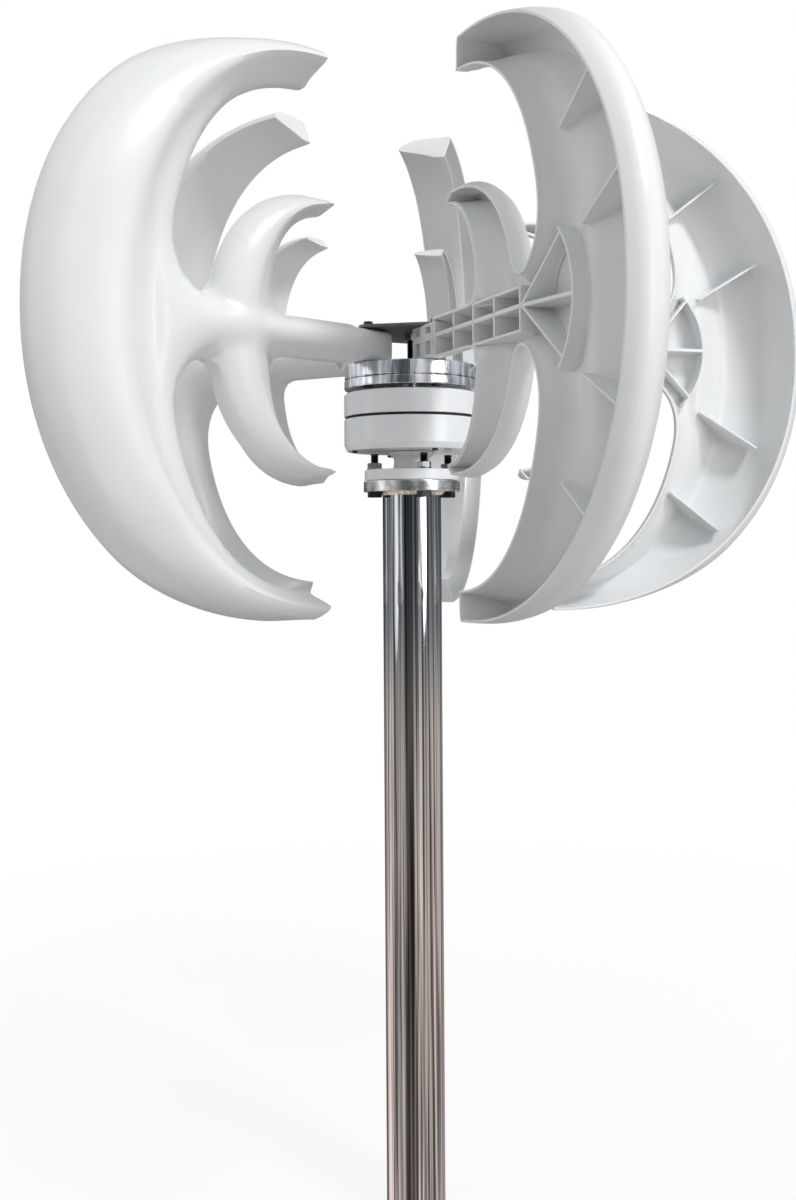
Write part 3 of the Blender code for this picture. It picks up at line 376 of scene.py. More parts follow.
low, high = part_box("lower_housing")
drum_radius, drum_low, seam_low = high.x, low.z, high.z
drum_inner, boss = drum_radius - DRUM_WALL, BEARING_SEAT + DRUM_WALL
cup_floor = drum_low + DRUM_WALL
lower_profile = [
    (CABLE_BORE, drum_low),
    (drum_radius - DRUM_BEVEL, drum_low),
    (drum_radius, drum_low + 2 * DRUM_BEVEL),
    (drum_radius, seam_low),
    (drum_inner, seam_low),
    (drum_inner, cup_floor),
    (boss, cup_floor),
    (boss, cup_floor + BEARING_HEIGHT),
    (BEARING_SEAT, cup_floor + BEARING_HEIGHT),
    (BEARING_SEAT, cup_floor - GAP),
    (CABLE_BORE, cup_floor - GAP),
]
lower_cup = turned(eased(lower_profile, 0.7 * MM), 160)
piece("lower_housing_cup", *lower_cup, white_coat, "mast", "housing_paint", "lower_housing")

drum_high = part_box("upper_housing")[1].z
seam_high, cup_roof = seam_low + SEAM, drum_high - DRUM_WALL
upper_profile = [
    (BEARING_SEAT, drum_high - BEARING_HEIGHT),
    (boss, drum_high - BEARING_HEIGHT),
    (boss, cup_roof),
    (drum_inner, cup_roof),
    (drum_inner, seam_high),
    (drum_radius, seam_high),
    (drum_radius, drum_high - DRUM_BEVEL / 2),
    (drum_radius - DRUM_BEVEL / 2, drum_high),
    (BEARING_SEAT, drum_high),
]
upper_cup = turned(eased(upper_profile, 0.7 * MM), 160)
piece("upper_housing_cup", *upper_cup, white_coat, "mast", "housing_paint", "upper_housing")

# Moulded rubber is matt, and a light bloom makes some of it duller still.
BLOOM = 4 * MM
seal_rubber, add, shader, coordinates = new_finish("nitrile rubber, moulded seal", "1B1C1E", 0.0, 0.75)
bloom = add("TexNoise", {"Vector": coordinates, "Scale": 1 / BLOOM, "Detail": 3.0})
bloom_range = add("MapRange", {"Value": bloom, "To Min": 0.6, "To Max": 0.9})
set_inputs(shader, {"Roughness": bloom_range})
low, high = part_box("housing_gasket")
seal = turned(eased(ring_profile(drum_inner, high.x, low.z, high.z), 0.5 * MM), 128)
piece("housing_seal", *seal, seal_rubber, "mast", "seal_rubber", "housing_gasket")

SCREW_PLACE_RADIUS, FIRST_SCREW_DEG = 61.5 * MM, 22
SCREW_BEVEL = 0.25 * MM
SOCKET, SOCKET_END = 2.4 * MM, 0.9 * MM  # its flats, and the metal left above it
for i in range(4):
    node = f"housing_screw_{i + 1}"
    low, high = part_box(node)
    radius, socket_end = (high.x - low.x) / 2, high.z - SOCKET_END
    rows = [
        (SOCKET / 2 * 0.4, socket_end, None),
        (SOCKET / 2, socket_end, 0),
        (SOCKET / 2, low.z, 0),
        (radius * 0.85, low.z, None),
        (radius * 0.97, low.z + SCREW_BEVEL, None),
        (radius * 0.97, high.z, None),
    ]
    place = at(FIRST_SCREW_DEG + 90 * i, SCREW_PLACE_RADIUS)
    piece(f"{node}_socket", *hex_turned(rows, 36), black_steel, "mast", "bolt_steel", node, place=place)


# Inside the drum: a stack of stamped steel laminations, two rings of enamelled copper wire, two ground steel
# bearings, the magnet rotor and the shaft. They are hidden, so they keep their plain forms.

LAMINATION = 1.0 * MM  # the real sheets are half as thick
WIRE = 1.2 * MM
GRINDING_MARK, GRINDING_LENGTH = MM / 3, 25 * MM

# Stacked sheets show as fine level lines and the winding as round ridges. Ground steel has a satin gloss.
finish_name = "silicon steel, stamped and stacked"
lamination_steel, add, shader, coordinates = new_finish(finish_name, "77736E", 1.0, 0.5)
wave = {"Vector": coordinates, "Scale": 1 / (20 * LAMINATION), "Distortion": 0.4}
sheets = add("TexWave", wave, bands_direction="Z").outputs["Fac"]
sheet_colour = add("MixRGB", {"Fac": sheets, "Color1": "5B5854", "Color2": "8E8A84"})
set_inputs(shader, {"Base Color": sheet_colour})

copper_wire, add, shader, coordinates = new_finish("copper wire, enamelled", "B4693A", 1.0, 0.35)
wave = {"Vector": coordinates, "Scale": 1 / (20 * WIRE), "Distortion": 1.0}
turns = add("TexWave", wave, wave_type="RINGS", rings_direction="Z").outputs["Fac"]
wire_colour = add("MixRGB", {"Fac": turns, "Color1": "8A4A24", "Color2": "C9804E"})
wire_bump = add("Bump", {"Height": turns, "Strength": 0.6, "Distance": WIRE / 2})
set_inputs(shader, {"Base Color": wire_colour, "Normal": wire_bump})

ground_steel, add, shader, coordinates = new_finish("bearing steel, ground", "C4C4C6", 1.0, 0.18)
flattened = add("Mapping", {"Vector": coordinates, "Scale": scales(GRINDING_LENGTH, GRINDING_MARK)})
grinding = add("TexNoise", {"Vector": flattened, "Scale": 1.0, "Detail": 3.0})
grinding_range = add("MapRange", {"Value": grinding, "To Min": 0.12, "To Max": 0.28})
set_inputs(shader, {"Roughness": grinding_range})

for finish, slot, nodes in (
    (lamination_steel, "core_steel", ("stator_core", "magnet_rotor")),
    (copper_wire, "winding_copper", ("winding_lower", "winding_upper")),
    (ground_steel, "bearing_steel", ("bearing_lower", "bearing_upper", "rotor_shaft")),
):
    for node in nodes:
        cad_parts[node].data.materials.clear()
        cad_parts[node].data.materials.append(finish)


# The hub's two discs: aluminium bar, turned and hand polished. The lower one turns with the shaft and has the
# nuts in pockets under it, and the upper one carries the blades' roots. Their rims mirror the surroundings.

DISC_BEVEL = 0.9 * MM
SHAFT_CLEAR = 10.3 * MM
DISC_MARK, DISC_MARK_LENGTH = MM / 1.8, 16.7 * MM
SMEAR_AND_STREAK_WIDTH, SMEAR_AND_STREAK_HEIGHT = 9.1 * MM, 83.3 * MM

# Polishing by hand leaves upright smears over the fine turned rings, so that the mirror is uneven. The colour
# holds painted blue-grey and white upright reflection streaks that follow the smears.
finish_name = "aluminium, turned and polished"
polished_aluminium, add, shader, coordinates = new_finish(finish_name, "D5D8DC", 1.0, 0.14)
flattened = add("Mapping", {"Vector": coordinates, "Scale": scales(DISC_MARK_LENGTH, DISC_MARK)})
turning = add("TexNoise", {"Vector": flattened, "Scale": 1.0, "Detail": 4.0})
upright = add("Mapping", {"Vector": coordinates, "Scale": scales(SMEAR_AND_STREAK_WIDTH, SMEAR_AND_STREAK_HEIGHT)})
smears_and_painted_streaks = add("TexNoise", {"Vector": upright, "Scale": 1.0, "Detail": 3.0})
smear_bump = add("Bump", {"Height": smears_and_painted_streaks, "Strength": 0.35, "Distance": 2 * MM})
turned_bump = {"Height": turning, "Strength": 0.15, "Distance": 0.1 * MM, "Normal": smear_bump}
turning_bump = add("Bump", turned_bump)
turning_range = add("MapRange", {"Value": turning, "To Min": 0.08, "To Max": 0.24})
# Painted reflection: blue-grey and white upright streaks in the discs' colour.
disc_painted_streak_share = add("MapRange", {"Value": smears_and_painted_streaks, "From Min": 0.38, "From Max": 0.60})
disc_painted_reflection = add("MixRGB", {"Fac": disc_painted_streak_share, "Color1": "A4ADB8", "Color2": "FAFAFA"})
set_inputs(shader, {"Base Color": disc_painted_reflection, "Normal": turning_bump, "Roughness": turning_range})

BLADES = 5
FIRST_BLADE_DEG = 24.7
BLADE_BOLT_RADIUS = 57.5 * MM
BLADE_BOLT_HOLE = 2.9 * MM
NUT_POCKET, NUT_POCKET_DEPTH = 6 * MM, 3.4 * MM
azimuths = [FIRST_BLADE_DEG + 360 / BLADES * i for i in range(BLADES)]


def carved(mesh, cutters):
    """A mesh's points and faces with other closed meshes cut out of it."""
    objects = []
    for points, faces in (mesh, merged(*cutters)):
        data = bpy.data.meshes.new("carving")
        data.from_pydata([tuple(p) for p in points], [], [tuple(f) for f in faces])
        objects.append(placed("carving", data))
    cut = objects[0].modifiers.new("cut", "BOOLEAN")
    cut.object, cut.solver, cut.operation = objects[1], "EXACT", "DIFFERENCE"
    bpy.context.view_layer.update()
    left = bpy.data.meshes.new_from_object(objects[0].evaluated_get(bpy.context.evaluated_depsgraph_get()))
    points = [tuple(vertex.co) for vertex in left.vertices]
    faces = [tuple(face.vertices) for face in left.polygons]
    for used in objects:
        bpy.data.objects.remove(used, do_unlink=True)
    return points, faces


def moved(mesh, place):
    return [tuple(place @ Vector(p)) for p in mesh[0]], mesh[1]


for node in ("drive_disc", "hub_disc"):
    low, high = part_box(node)
    disc_profile = [
        (SHAFT_CLEAR, low.z),
        (high.x - DISC_BEVEL, low.z),
        (high.x, low.z + DISC_BEVEL),
        (high.x, high.z - DISC_BEVEL),
        (high.x - DISC_BEVEL, high.z),
        (SHAFT_CLEAR, high.z),
    ]
    bolt_hole = ring_profile(0, BLADE_BOLT_HOLE, low.z - MM, high.z + MM)
    if node == "drive_disc":
        pocket_top = low.z + NUT_POCKET_DEPTH
        bolt_hole[1:2] = [(NUT_POCKET, low.z - MM), (NUT_POCKET, pocket_top), (BLADE_BOLT_HOLE, pocket_top)]
    holes = [moved(turned(bolt_hole, 40), at(azimuth, BLADE_BOLT_RADIUS)) for azimuth in azimuths]
    disc = carved(turned(eased(disc_profile, 0.5 * MM), 160), holes)
    piece(f"{node}_turned", *disc, polished_aluminium, "rotor", "polished_aluminium", node)

# In the middle a threaded stud stands in the shaft's end, with a bright nut on it right under the top plate.
low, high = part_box("hub_stud")
stud = turned(threaded(high.x, M8_PITCH, low.z, high.z), 40)
piece("hub_stud_threaded", *stud, black_steel, "rotor", "bolt_steel", "hub_stud")
low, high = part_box("hub_nut")
nut = hex_turned(hex_head(M8_FLATS, low.z, high.z, chamfer_low=True))
piece("hub_nut_hex", *nut, zinc_steel, "rotor", "bearing_steel", "hub_nut")


# The blades: five hollow crescents, injection moulded in white glass-filled nylon, each with a smaller one
# and a ribbed arm in the same moulding. The closed side is smooth and swells past the open edge.

HUB_HEIGHT = 875 * MM
WALL = 2.5 * MM
OUTER_EDGE = (148 * MM, 258 * MM, 266 * MM, 2.12)  # centre radius, half width, half height, exponent
INNER_EDGE = (115 * MM, 167 * MM, 239 * MM, 2.4)
SMALL_OUTER_EDGE = (125 * MM, 113 * MM, 132 * MM, 2.2)
SMALL_INNER_EDGE = (95 * MM, 75 * MM, 122 * MM, 2.6)
TIP_CUT = (132 * MM, 241 * MM, 0.48)  # radius and height of the tip's inner corner, and the cut's lean
SMALL_TIP_CUT = (107 * MM, 120 * MM, 0.9)
LARGE, SMALL = (OUTER_EDGE, INNER_EDGE, TIP_CUT), (SMALL_OUTER_EDGE, SMALL_INNER_EDGE, SMALL_TIP_CUT)
DEPTH, SMALL_DEPTH = 58 * MM, 33 * MM
RIDGE_SHARE, RIDGE_BLEND = 0.5, 0.12  # where the ridge lies between the two edges, and how round it is
BACK_FALL = 0.58  # how much lower the back lies at the outer edge
OUTSIDE_FALL = 1.5  # how steeply a form's depth falls outside its own outline
EDGE_RISE, EDGE_RISE_END, EDGE_BLEND = 1.2, 20 * MM, 4 * MM  # the least depth, rising from the outline
EDGE_EASE = 0.5 * MM
RIM_Y, OUTER_RIM_Y = -14 * MM, -18.5 * MM
BULGE, SMALL_BULGE = 10.3 * MM, 4 * MM
BULGE_TOP, BULGE_FADE = 290 * MM, 92 * MM  # where the swell has died out above, and over how much
BULGE_TIP_FADE, SMALL_TIP_FADE = 45 * MM, 25 * MM
BULGE_LEAN = 0.85  # below 1, the swell is widest nearer the open edge
SWELL_REACH, SMALL_SWELL_REACH = 6 * MM, 4 * MM  # how close to an outer edge the outline swells
SMALL_SWELL_START, SMALL_SWELL_RISE = 25 * MM, 15 * MM  # height, and over how much the small swell comes in
ARM_HALF, ARM_MIDDLE, ARM_DEPTH, ARM_END = 19.5 * MM, 1.5 * MM, 33 * MM, 300 * MM
ARM_START = 80 * MM
ROOT_START, ROOT_END, ROOT_DEPTH, ROOT_SQUARENESS = 34 * MM, 85 * MM, 23 * MM, 5
ROOT_LOW, ROOT_HIGH = -16 * MM, 17.2 * MM
ARM_FILLET, SMALL_FILLET, SURFACE_BLEND = 80 * MM, 20 * MM, 16 * MM
GRID = 1.5 * MM
OUTLINE_STEP = 6 * MM
SKIN_STEP = 5.5 * MM
NARROW_STEP_SHARE = 0.11  # the skin's step where a crescent is narrow, as a share of its width
FINEST_STEP = 1.6 * MM
SHORT_RUN_STEPS = 14  # the least number of steps from one corner of the outline to the next
WALL_RINGS = 9
STEEPEST = 2.2  # the most that a slope thickens the wall, measured along Y
LEAST_DROP = 1.5 * MM  # of the inner skin's wall
SEAT_INSET = (1.2 * MM, 5 * MM)  # how far in the wall meets the back: elsewhere, and under the outer edge


def smooth_max(a, b, reach):
    """The larger of two fields, blended where they are closer than reach."""
    return np.maximum(a, b) + np.maximum(reach - np.abs(a - b), 0) ** 2 / (4 * reach)


def smooth_step(value):
    value = np.clip(value, 0, 1)
    return value * value * (3 - 2 * value)


def inside_edge(x, z, edge):
    """How far a point is inside a superellipse edge, measured along the ray from its centre."""
    centre, half_width, half_height, power = edge
    across, up = np.maximum(x - centre, 0), np.hypot(z, MM)
    reach = (across / half_width) ** power + (up / half_height) ** power
    reach = np.maximum(reach, 1e-9) ** (1 / power)
    radius = np.maximum(np.hypot(across, up), 1e-6)
    return radius / reach - radius


def beyond_cut(x, z, cut):
    """How far a point lies past the slanting cut across a crescent's tip."""
    return x - (cut[0] + cut[2] * (np.abs(z) - cut[1]))


def crescent(x, z, outer_edge, inner_edge, cut):
    """Distance inside a crescent, and the fraction of the way from its inner to its outer edge."""
    from_outer, from_inner = inside_edge(x, z, outer_edge), -inside_edge(x, z, inner_edge)
    fraction = from_inner / np.maximum(from_inner + from_outer, 1e-6)
    return np.minimum(np.minimum(from_outer, from_inner), beyond_cut(x, z, cut)), np.clip(fraction, -1, 1.2)


def arm_field(x, z):
    """Positive inside the arm and the large crescent, which the arm flares out into."""
    large, _ = crescent(x, z, *LARGE)
    return smooth_max(large, np.minimum(ARM_HALF - np.abs(z - ARM_MIDDLE), ARM_END - x), ARM_FILLET)


def blade_field(x, z):
    """Positive inside the blade's outline, in metres from it."""
    small, _ = crescent(x, z, *SMALL)
    return smooth_max(np.minimum(arm_field(x, z), x - ARM_START), small, SMALL_FILLET)


def section(fraction):
    """Depth across a crescent, as a share of its full depth: a flat slope, a ridge, a long round back."""
    past_ridge = np.clip(fraction / RIDGE_SHARE - 1, 0, 1)
    back = np.sqrt(1 - BACK_FALL * past_ridge**2)
    return -smooth_max(-fraction / RIDGE_SHARE, -back, RIDGE_BLEND)


def blade_depth(x, z):
    """Depth of the blade's closed side behind its open edge."""
    _, large_share = crescent(x, z, *LARGE)
    small, small_share = crescent(x, z, *SMALL)
    field = arm_field(x, z)
    from_middle = 1 - np.clip(field / np.maximum(arm_field(x, ARM_MIDDLE), MM), 0, 1)
    arm = ARM_DEPTH * np.sqrt(1 - from_middle**2) + OUTSIDE_FALL * np.minimum(field, 0)
    arm = arm - np.maximum(x - ARM_END, 0)
    depth = smooth_max(DEPTH * section(large_share), arm, SURFACE_BLEND)
    small_depth = SMALL_DEPTH * section(small_share) + OUTSIDE_FALL * np.minimum(small, 0)
    depth = smooth_max(depth, small_depth, SURFACE_BLEND)
    return smooth_max(depth, np.minimum(EDGE_RISE * blade_field(x, z), EDGE_RISE_END), EDGE_BLEND)


def rim_y(x, z):
    """Height of the open edge along Y."""
    _, share = crescent(x, z, *LARGE)
    return RIM_Y + (OUTER_RIM_Y - RIM_Y) * smooth_step(share)


def traced_outline():
    """The blade's outline as a closed anticlockwise loop, where the field changes sign on a fine grid."""
    xs = np.arange(ARM_START - 5 * GRID, OUTER_EDGE[0] + OUTER_EDGE[1] + 5 * GRID, GRID)
    zs = np.arange(-OUTER_EDGE[2] - 5 * GRID, OUTER_EDGE[2] + 5 * GRID, GRID)
    field = blade_field(xs[:, None], zs[None, :])
    inside = field > 0
    cells = inside[:-1, :-1].astype(int) + inside[1:, :-1] + inside[:-1, 1:] + inside[1:, 1:]
    links = {}
    for i, j in np.argwhere((cells > 0) & (cells < 4)).tolist():
        corners = [(i, j), (i + 1, j), (i + 1, j + 1), (i, j + 1)]
        leaving, entering = [], []
        for a, b in zip(corners, corners[1:] + corners[:1]):
            if inside[a] != inside[b]:
                (leaving if inside[a] else entering).append(tuple(sorted((a, b))))
        links.update(zip(leaving, entering))
    loops = []
    while links:
        here, loop = next(iter(links)), []
        while here in links:
            loop.append(here)
            here = links.pop(here)
        loops.append(loop)
    points = []
    for a, b in max(loops, key=len):
        t = field[a] / (field[a] - field[b])
        points.append((xs[a[0]] + t * (xs[b[0]] - xs[a[0]]), zs[a[1]] + t * (zs[b[1]] - zs[a[1]])))
    x, z = np.array(points).T
    return np.array(points if (x * np.roll(z, -1) - np.roll(x, -1) * z).sum() > 0 else points[::-1])


def spaced(points, step, corner_deg=22):
    """A closed loop walked again at even steps, with its sharp corners kept."""
    reach = 3  # points each way that a corner's turn is measured over
    back, on = points - np.roll(points, reach, axis=0), np.roll(points, -reach, axis=0) - points
    cross = back[:, 0] * on[:, 1] - back[:, 1] * on[:, 0]
    turn = np.abs(np.degrees(np.arctan2(cross, (back * on).sum(axis=1))))
    corners = [
        i
        for i in range(len(points))
        if turn[i] > corner_deg and turn[i] >= max(turn[(i + k) % len(points)] for k in range(-8, 9))
    ]
    kept = []
    for start, end in zip(corners, corners[1:] + [corners[0] + len(points)]):
        run = points[np.arange(start, end + 1) % len(points)]
        lengths = np.concatenate([[0], np.cumsum(np.linalg.norm(np.diff(run, axis=0), axis=1))])
        if lengths[-1] < MM:
            continue
        count = max(SHORT_RUN_STEPS, round(lengths[-1] / step))
        for wanted in np.arange(count) / count * lengths[-1]:
            kept.append([np.interp(wanted, lengths, run[:, 0]), np.interp(wanted, lengths, run[:, 1])])
    return np.array(kept)


def loop_normals(points):
    """Inward normals of an anticlockwise loop."""
    before, after = points - np.roll(points, 1, axis=0), np.roll(points, -1, axis=0) - points
    before = before / np.linalg.norm(before, axis=1)[:, None]
    after = after / np.linalg.norm(after, axis=1)[:, None]
    tangent = before + after
    tangent /= np.linalg.norm(tangent, axis=1)[:, None]
    return np.stack([-tangent[:, 1], tangent[:, 0]], axis=1)


def edge_point(edge, turn):
    """The point of a superellipse edge at a turn from its widest point."""
    centre, half_width, half_height, power = edge
    along, up = abs(math.cos(turn)) ** (2 / power), abs(math.sin(turn)) ** (2 / power)
    return np.array([centre + half_width * along, math.copysign(half_height * up, turn)])


def skin_step(x, z):
    """How far apart the skin's points lie: closer together where a crescent is narrow."""
    width = np.full(np.shape(x), SKIN_STEP / NARROW_STEP_SHARE)
    for form in (LARGE, SMALL):
        here = inside_edge(x, z, form[0]) - inside_edge(x, z, form[1])
        width = np.where(crescent(x, z, *form)[0] > -2 * MM, np.minimum(width, here), width)
    return np.clip(NARROW_STEP_SHARE * width, FINEST_STEP, SKIN_STEP)


def back_points():
    """Points for the blade's back, in rows along the crescents and the arm, then a lattice between them."""
    wanted = []
    for outer_edge, inner_edge, _ in (LARGE, SMALL):
        width = outer_edge[0] + outer_edge[1] - inner_edge[0] - inner_edge[1]
        rows = 2 * max(4, round(width / SKIN_STEP / 2))
        # The row on the ridge comes first, so that none of its points are thinned out.
        for share in sorted(np.linspace(0, 1, rows + 1), key=lambda share: abs(share - RIDGE_SHARE)):
            turn = 0.0
            while turn < math.pi / 2:
                point = edge_point(outer_edge, turn) * share + edge_point(inner_edge, turn) * (1 - share)
                wanted += [point, point * (1, -1)]
                turn += float(skin_step(*point)) / np.hypot(point[0] - inner_edge[0], point[1])
    row_height = SKIN_STEP * math.sqrt(3) / 2
    rows = int(OUTER_EDGE[2] / row_height)
    for row in range(-rows, rows + 1):
        start = ARM_START + (row % 2) * SKIN_STEP / 2
        wanted += [(x, row * row_height) for x in np.arange(start, OUTER_EDGE[0] + OUTER_EDGE[1], SKIN_STEP)]
    wanted = np.array(wanted)
    steps = skin_step(*wanted.T)
    inside = blade_field(*wanted.T) > SEAT_INSET[0] + 0.5 * steps
    cells, kept = {}, []
    for point, step in zip(wanted[inside], steps[inside]):
        cell = (int(point[0] // SKIN_STEP), int(point[1] // SKIN_STEP))
        near = [p for i in (-1, 0, 1) for j in (-1, 0, 1) for p in cells.get((cell[0] + i, cell[1] + j), [])]
        if all(math.dist(point, p) > 0.72 * step for p in near):
            cells.setdefault(cell, []).append(point)
            kept.append(point)
    return np.array(kept)


def raised(flat, y):
    """Points of the flat outline plane, (x, z), at their heights along Y."""
    return np.column_stack([flat[:, 0], y, flat[:, 1]])


def blade_shell():
    """The moulded shell: an outer and an inner skin, joined round the open edge, whose corners are eased."""
    outline = spaced(traced_outline(), OUTLINE_STEP)
    n = len(outline)
    inward = loop_normals(outline)
    near_large = smooth_step(1 - np.abs(inside_edge(*outline.T, OUTER_EDGE)) / SWELL_REACH)
    near_small = smooth_step(1 - np.abs(inside_edge(*outline.T, SMALL_OUTER_EDGE)) / SMALL_SWELL_REACH)
    near_small = near_small * smooth_step((np.abs(outline[:, 1]) - SMALL_SWELL_START) / SMALL_SWELL_RISE)
    for _ in range(3):
        # The swell and the inset run out gently towards the corners.
        near_large = (np.roll(near_large, 1) + 2 * near_large + np.roll(near_large, -1)) / 4
        near_small = (np.roll(near_small, 1) + 2 * near_small + np.roll(near_small, -1)) / 4
    near_large = near_large * smooth_step(beyond_cut(*outline.T, TIP_CUT) / BULGE_TIP_FADE)
    near_small = near_small * smooth_step(beyond_cut(*outline.T, SMALL_TIP_CUT) / SMALL_TIP_FADE)
    inset = SEAT_INSET[0] + (SEAT_INSET[1] - SEAT_INSET[0]) * near_large
    fade = smooth_step((BULGE_TOP - np.abs(outline[:, 1])) / BULGE_FADE)
    swell = np.maximum(BULGE * near_large * fade, SMALL_BULGE * near_small)
    edge_y = rim_y(*outline.T)
    seat = outline + inward * inset[:, None]
    inner_points = back_points()
    clear = np.array([np.hypot(*(seat - p).T).min() for p in inner_points]) > 0.6 * skin_step(*inner_points.T)
    inner_points = inner_points[clear]
    flat_points = [Vector(p) for p in np.vstack([seat, inner_points])]
    made = delaunay_2d_cdt(flat_points, [], [list(range(n))], 1, 1e-7)
    sheet, triangles = np.array(made[0]), np.array(made[2])
    inner_points = sheet[n:]

    def skin(in_by, drop, back_y, top):
        rows = []
        for s in np.linspace(0, 1, WALL_RINGS):
            bulge = math.sin(math.pi * s**BULGE_LEAN)
            flat = outline + inward * (inset * s * s - swell * bulge + in_by)[:, None]
            rows.append(raised(flat, edge_y + top * (1 - s) + drop * s))
        return np.vstack([*rows, raised(inner_points, back_y)])

    last_ring = (WALL_RINGS - 1) * n
    here = np.arange(n)
    after = np.roll(here, -1)
    faces = [(triangles + last_ring)[:, ::-1].tolist()]
    for upper in range(0, last_ring, n):
        lower = upper + n
        faces.append(np.column_stack([upper + here, lower + here, lower + after, upper + after]).tolist())
    faces = [tuple(face) for group in faces for face in group]

    depth_here = blade_depth(*inner_points.T)
    slope_step = MM
    x, z = inner_points.T
    slope_x = (blade_depth(x + slope_step, z) - blade_depth(x - slope_step, z)) / (2 * slope_step)
    slope_z = (blade_depth(x, z + slope_step) - blade_depth(x, z - slope_step)) / (2 * slope_step)
    steep = np.minimum(np.sqrt(1 + slope_x**2 + slope_z**2), STEEPEST)
    outer_y = rim_y(x, z) + depth_here
    inner_y = np.maximum(outer_y - WALL * steep, rim_y(x, z) + MM)
    drop = blade_depth(*seat.T)
    outside = skin(0, drop, outer_y, EDGE_EASE)
    inside = skin(WALL, np.maximum(drop - WALL * 1.3, LEAST_DROP), inner_y, EDGE_EASE)
    total = len(outside)
    # Two more loops on the open edge, a little in from each corner
    rims = [raised(outline + inward * in_by, edge_y) for in_by in (EDGE_EASE, WALL - EDGE_EASE)]
    faces_in = [tuple(total + i for i in reversed(face)) for face in faces]
    loops = [here, 2 * total + here, 2 * total + n + here, total + here]
    rim_faces = []
    for first, second in zip(loops, loops[1:]):
        rim_faces += np.column_stack([np.roll(first, -1), np.roll(second, -1), second, first]).tolist()
    points = np.vstack([outside, inside, *rims])
    inner_skin = BVHTree.FromPolygons([Vector(p) for p in inside], faces)
    return points.tolist(), faces + faces_in + [tuple(f) for f in rim_faces], inner_skin


# The ribs are part of the moulding: a ladder in the arm, a star and an arc behind its end, and two gussets
# above and below. They have the taper and the rounded feet that let them leave the mould.

RIB, MID_RIB = 2.6 * MM, 4 * MM
RIB_TOP_Y = RIM_Y + 1 * MM
RIB_STEP = 5 * MM
RIB_DRAFT, RIB_FOOT = 0.25 * MM, 1.3 * MM
CROSS_RIBS = (122 * MM, 161 * MM, 200 * MM, 245 * MM)
STAR = (247 * MM, 4 * MM)
ARC_CENTRE, ARC_RADIUS, ARC_HALF_DEG, ARC_TOP_Y = (225 * MM, 4 * MM), 85 * MM, 42, -3 * MM
STAR_RIB_DEG = (38, -35)
GUSSETS = (((277, 145), (330, 186)), ((310, 60), (372, 98)))  # mm, foot and top, mirrored below the arm
GUSSET_TOP_Y = 6 * MM


def lofted(rings):
    """Points and faces of a closed loft through rings that run clockwise as seen from its far end."""
    size, last = len(rings[0]), (len(rings) - 1) * len(rings[0])
    faces = [tuple(range(size)), tuple(last + i for i in reversed(range(size)))]
    for start in range(0, last, size):
        for k in range(size):
            j = (k + 1) % size
            faces.append((start + j, start + k, start + size + k, start + size + j))
    return [point for ring in rings for point in ring], faces


def web(path, tops, thickness, skin):
    """A rib along a path of (x, z) points, from its eased top down into the skin under it."""
    path = np.array(path, float)
    along = np.gradient(path, axis=0)
    along /= np.linalg.norm(along, axis=1)[:, None]
    side = np.stack([-along[:, 1], along[:, 0]], axis=1)
    half, ease = thickness / 2, 0.45 * MM
    rings = []
    for (x, z), (sx, sz), top in zip(path, side, tops):
        hit = skin.ray_cast(Vector((x, -0.1, z)), Vector((0, 1, 0)))[0]
        floor, sink = (hit.y if hit else top), 1.2 * MM
        if floor < top + sink:
            # The skin comes in front of the rib's top here, so the rib runs out inside the wall.
            top, floor, sink = floor + 0.3 * MM, floor + 1.4 * MM, 0.8 * MM
        ring = [
            (half - ease, top),
            (half, top + ease),
            (half + RIB_DRAFT, max(floor - RIB_FOOT, top + 1.5 * ease)),
            (half + RIB_DRAFT + 0.35 * RIB_FOOT, floor - 0.3 * RIB_FOOT),
            (half + RIB_DRAFT + RIB_FOOT, floor + 0.2 * MM),
            (half, floor + sink),
        ]
        ring += [(-across, y) for across, y in reversed(ring)]
        rings.append([(x + across * sx, y, z + across * sz) for across, y in ring])
    return lofted(rings)


def straight(start, end):
    count = max(3, round(math.dist(start, end) / RIB_STEP))
    return [
        (start[0] + (end[0] - start[0]) * i / count, start[1] + (end[1] - start[1]) * i / count)
        for i in range(count + 1)
    ]


def arc_point(angle_deg):
    angle = math.radians(angle_deg)
    return ARC_CENTRE[0] + ARC_RADIUS * math.cos(angle), ARC_CENTRE[1] + ARC_RADIUS * math.sin(angle)


def rib_lines():
    """Every rib's path, its top at both ends and its thickness."""
    small_inner = SMALL_INNER_EDGE[0] + SMALL_INNER_EDGE[1]
    for side in (1, -1):
        height = ARM_MIDDLE + side * (ARM_HALF - RIB / 2)
        yield straight((small_inner - 12 * MM, height), (STAR[0], height)), RIB_TOP_Y, RIB_TOP_Y, RIB
    middle = straight((ROOT_END - 6 * MM, STAR[1]), (STAR[0] + MID_RIB / 2, STAR[1]))
    yield middle, RIB_TOP_Y, RIB_TOP_Y, MID_RIB
    yield straight(STAR, (arc_point(0)[0] - MM, STAR[1])), RIB_TOP_Y, ARC_TOP_Y, 0.9 * MID_RIB
    for x in CROSS_RIBS:
        rung = straight((x, ARM_MIDDLE - ARM_HALF + MM), (x, ARM_MIDDLE + ARM_HALF - MM))
        yield rung, RIB_TOP_Y, RIB_TOP_Y, RIB
    for angle in STAR_RIB_DEG:
        yield straight(STAR, arc_point(angle)), RIB_TOP_Y, ARC_TOP_Y, RIB
    yield [arc_point(a) for a in np.linspace(-ARC_HALF_DEG, ARC_HALF_DEG, 33)], ARC_TOP_Y, ARC_TOP_Y, RIB
    for side in (1, -1):
        for (foot_x, foot_z), (top_x, top_z) in GUSSETS:
            line = straight((foot_x * MM, side * foot_z * MM), (top_x * MM, side * top_z * MM))
            yield line, GUSSET_TOP_Y, GUSSET_TOP_Y, RIB


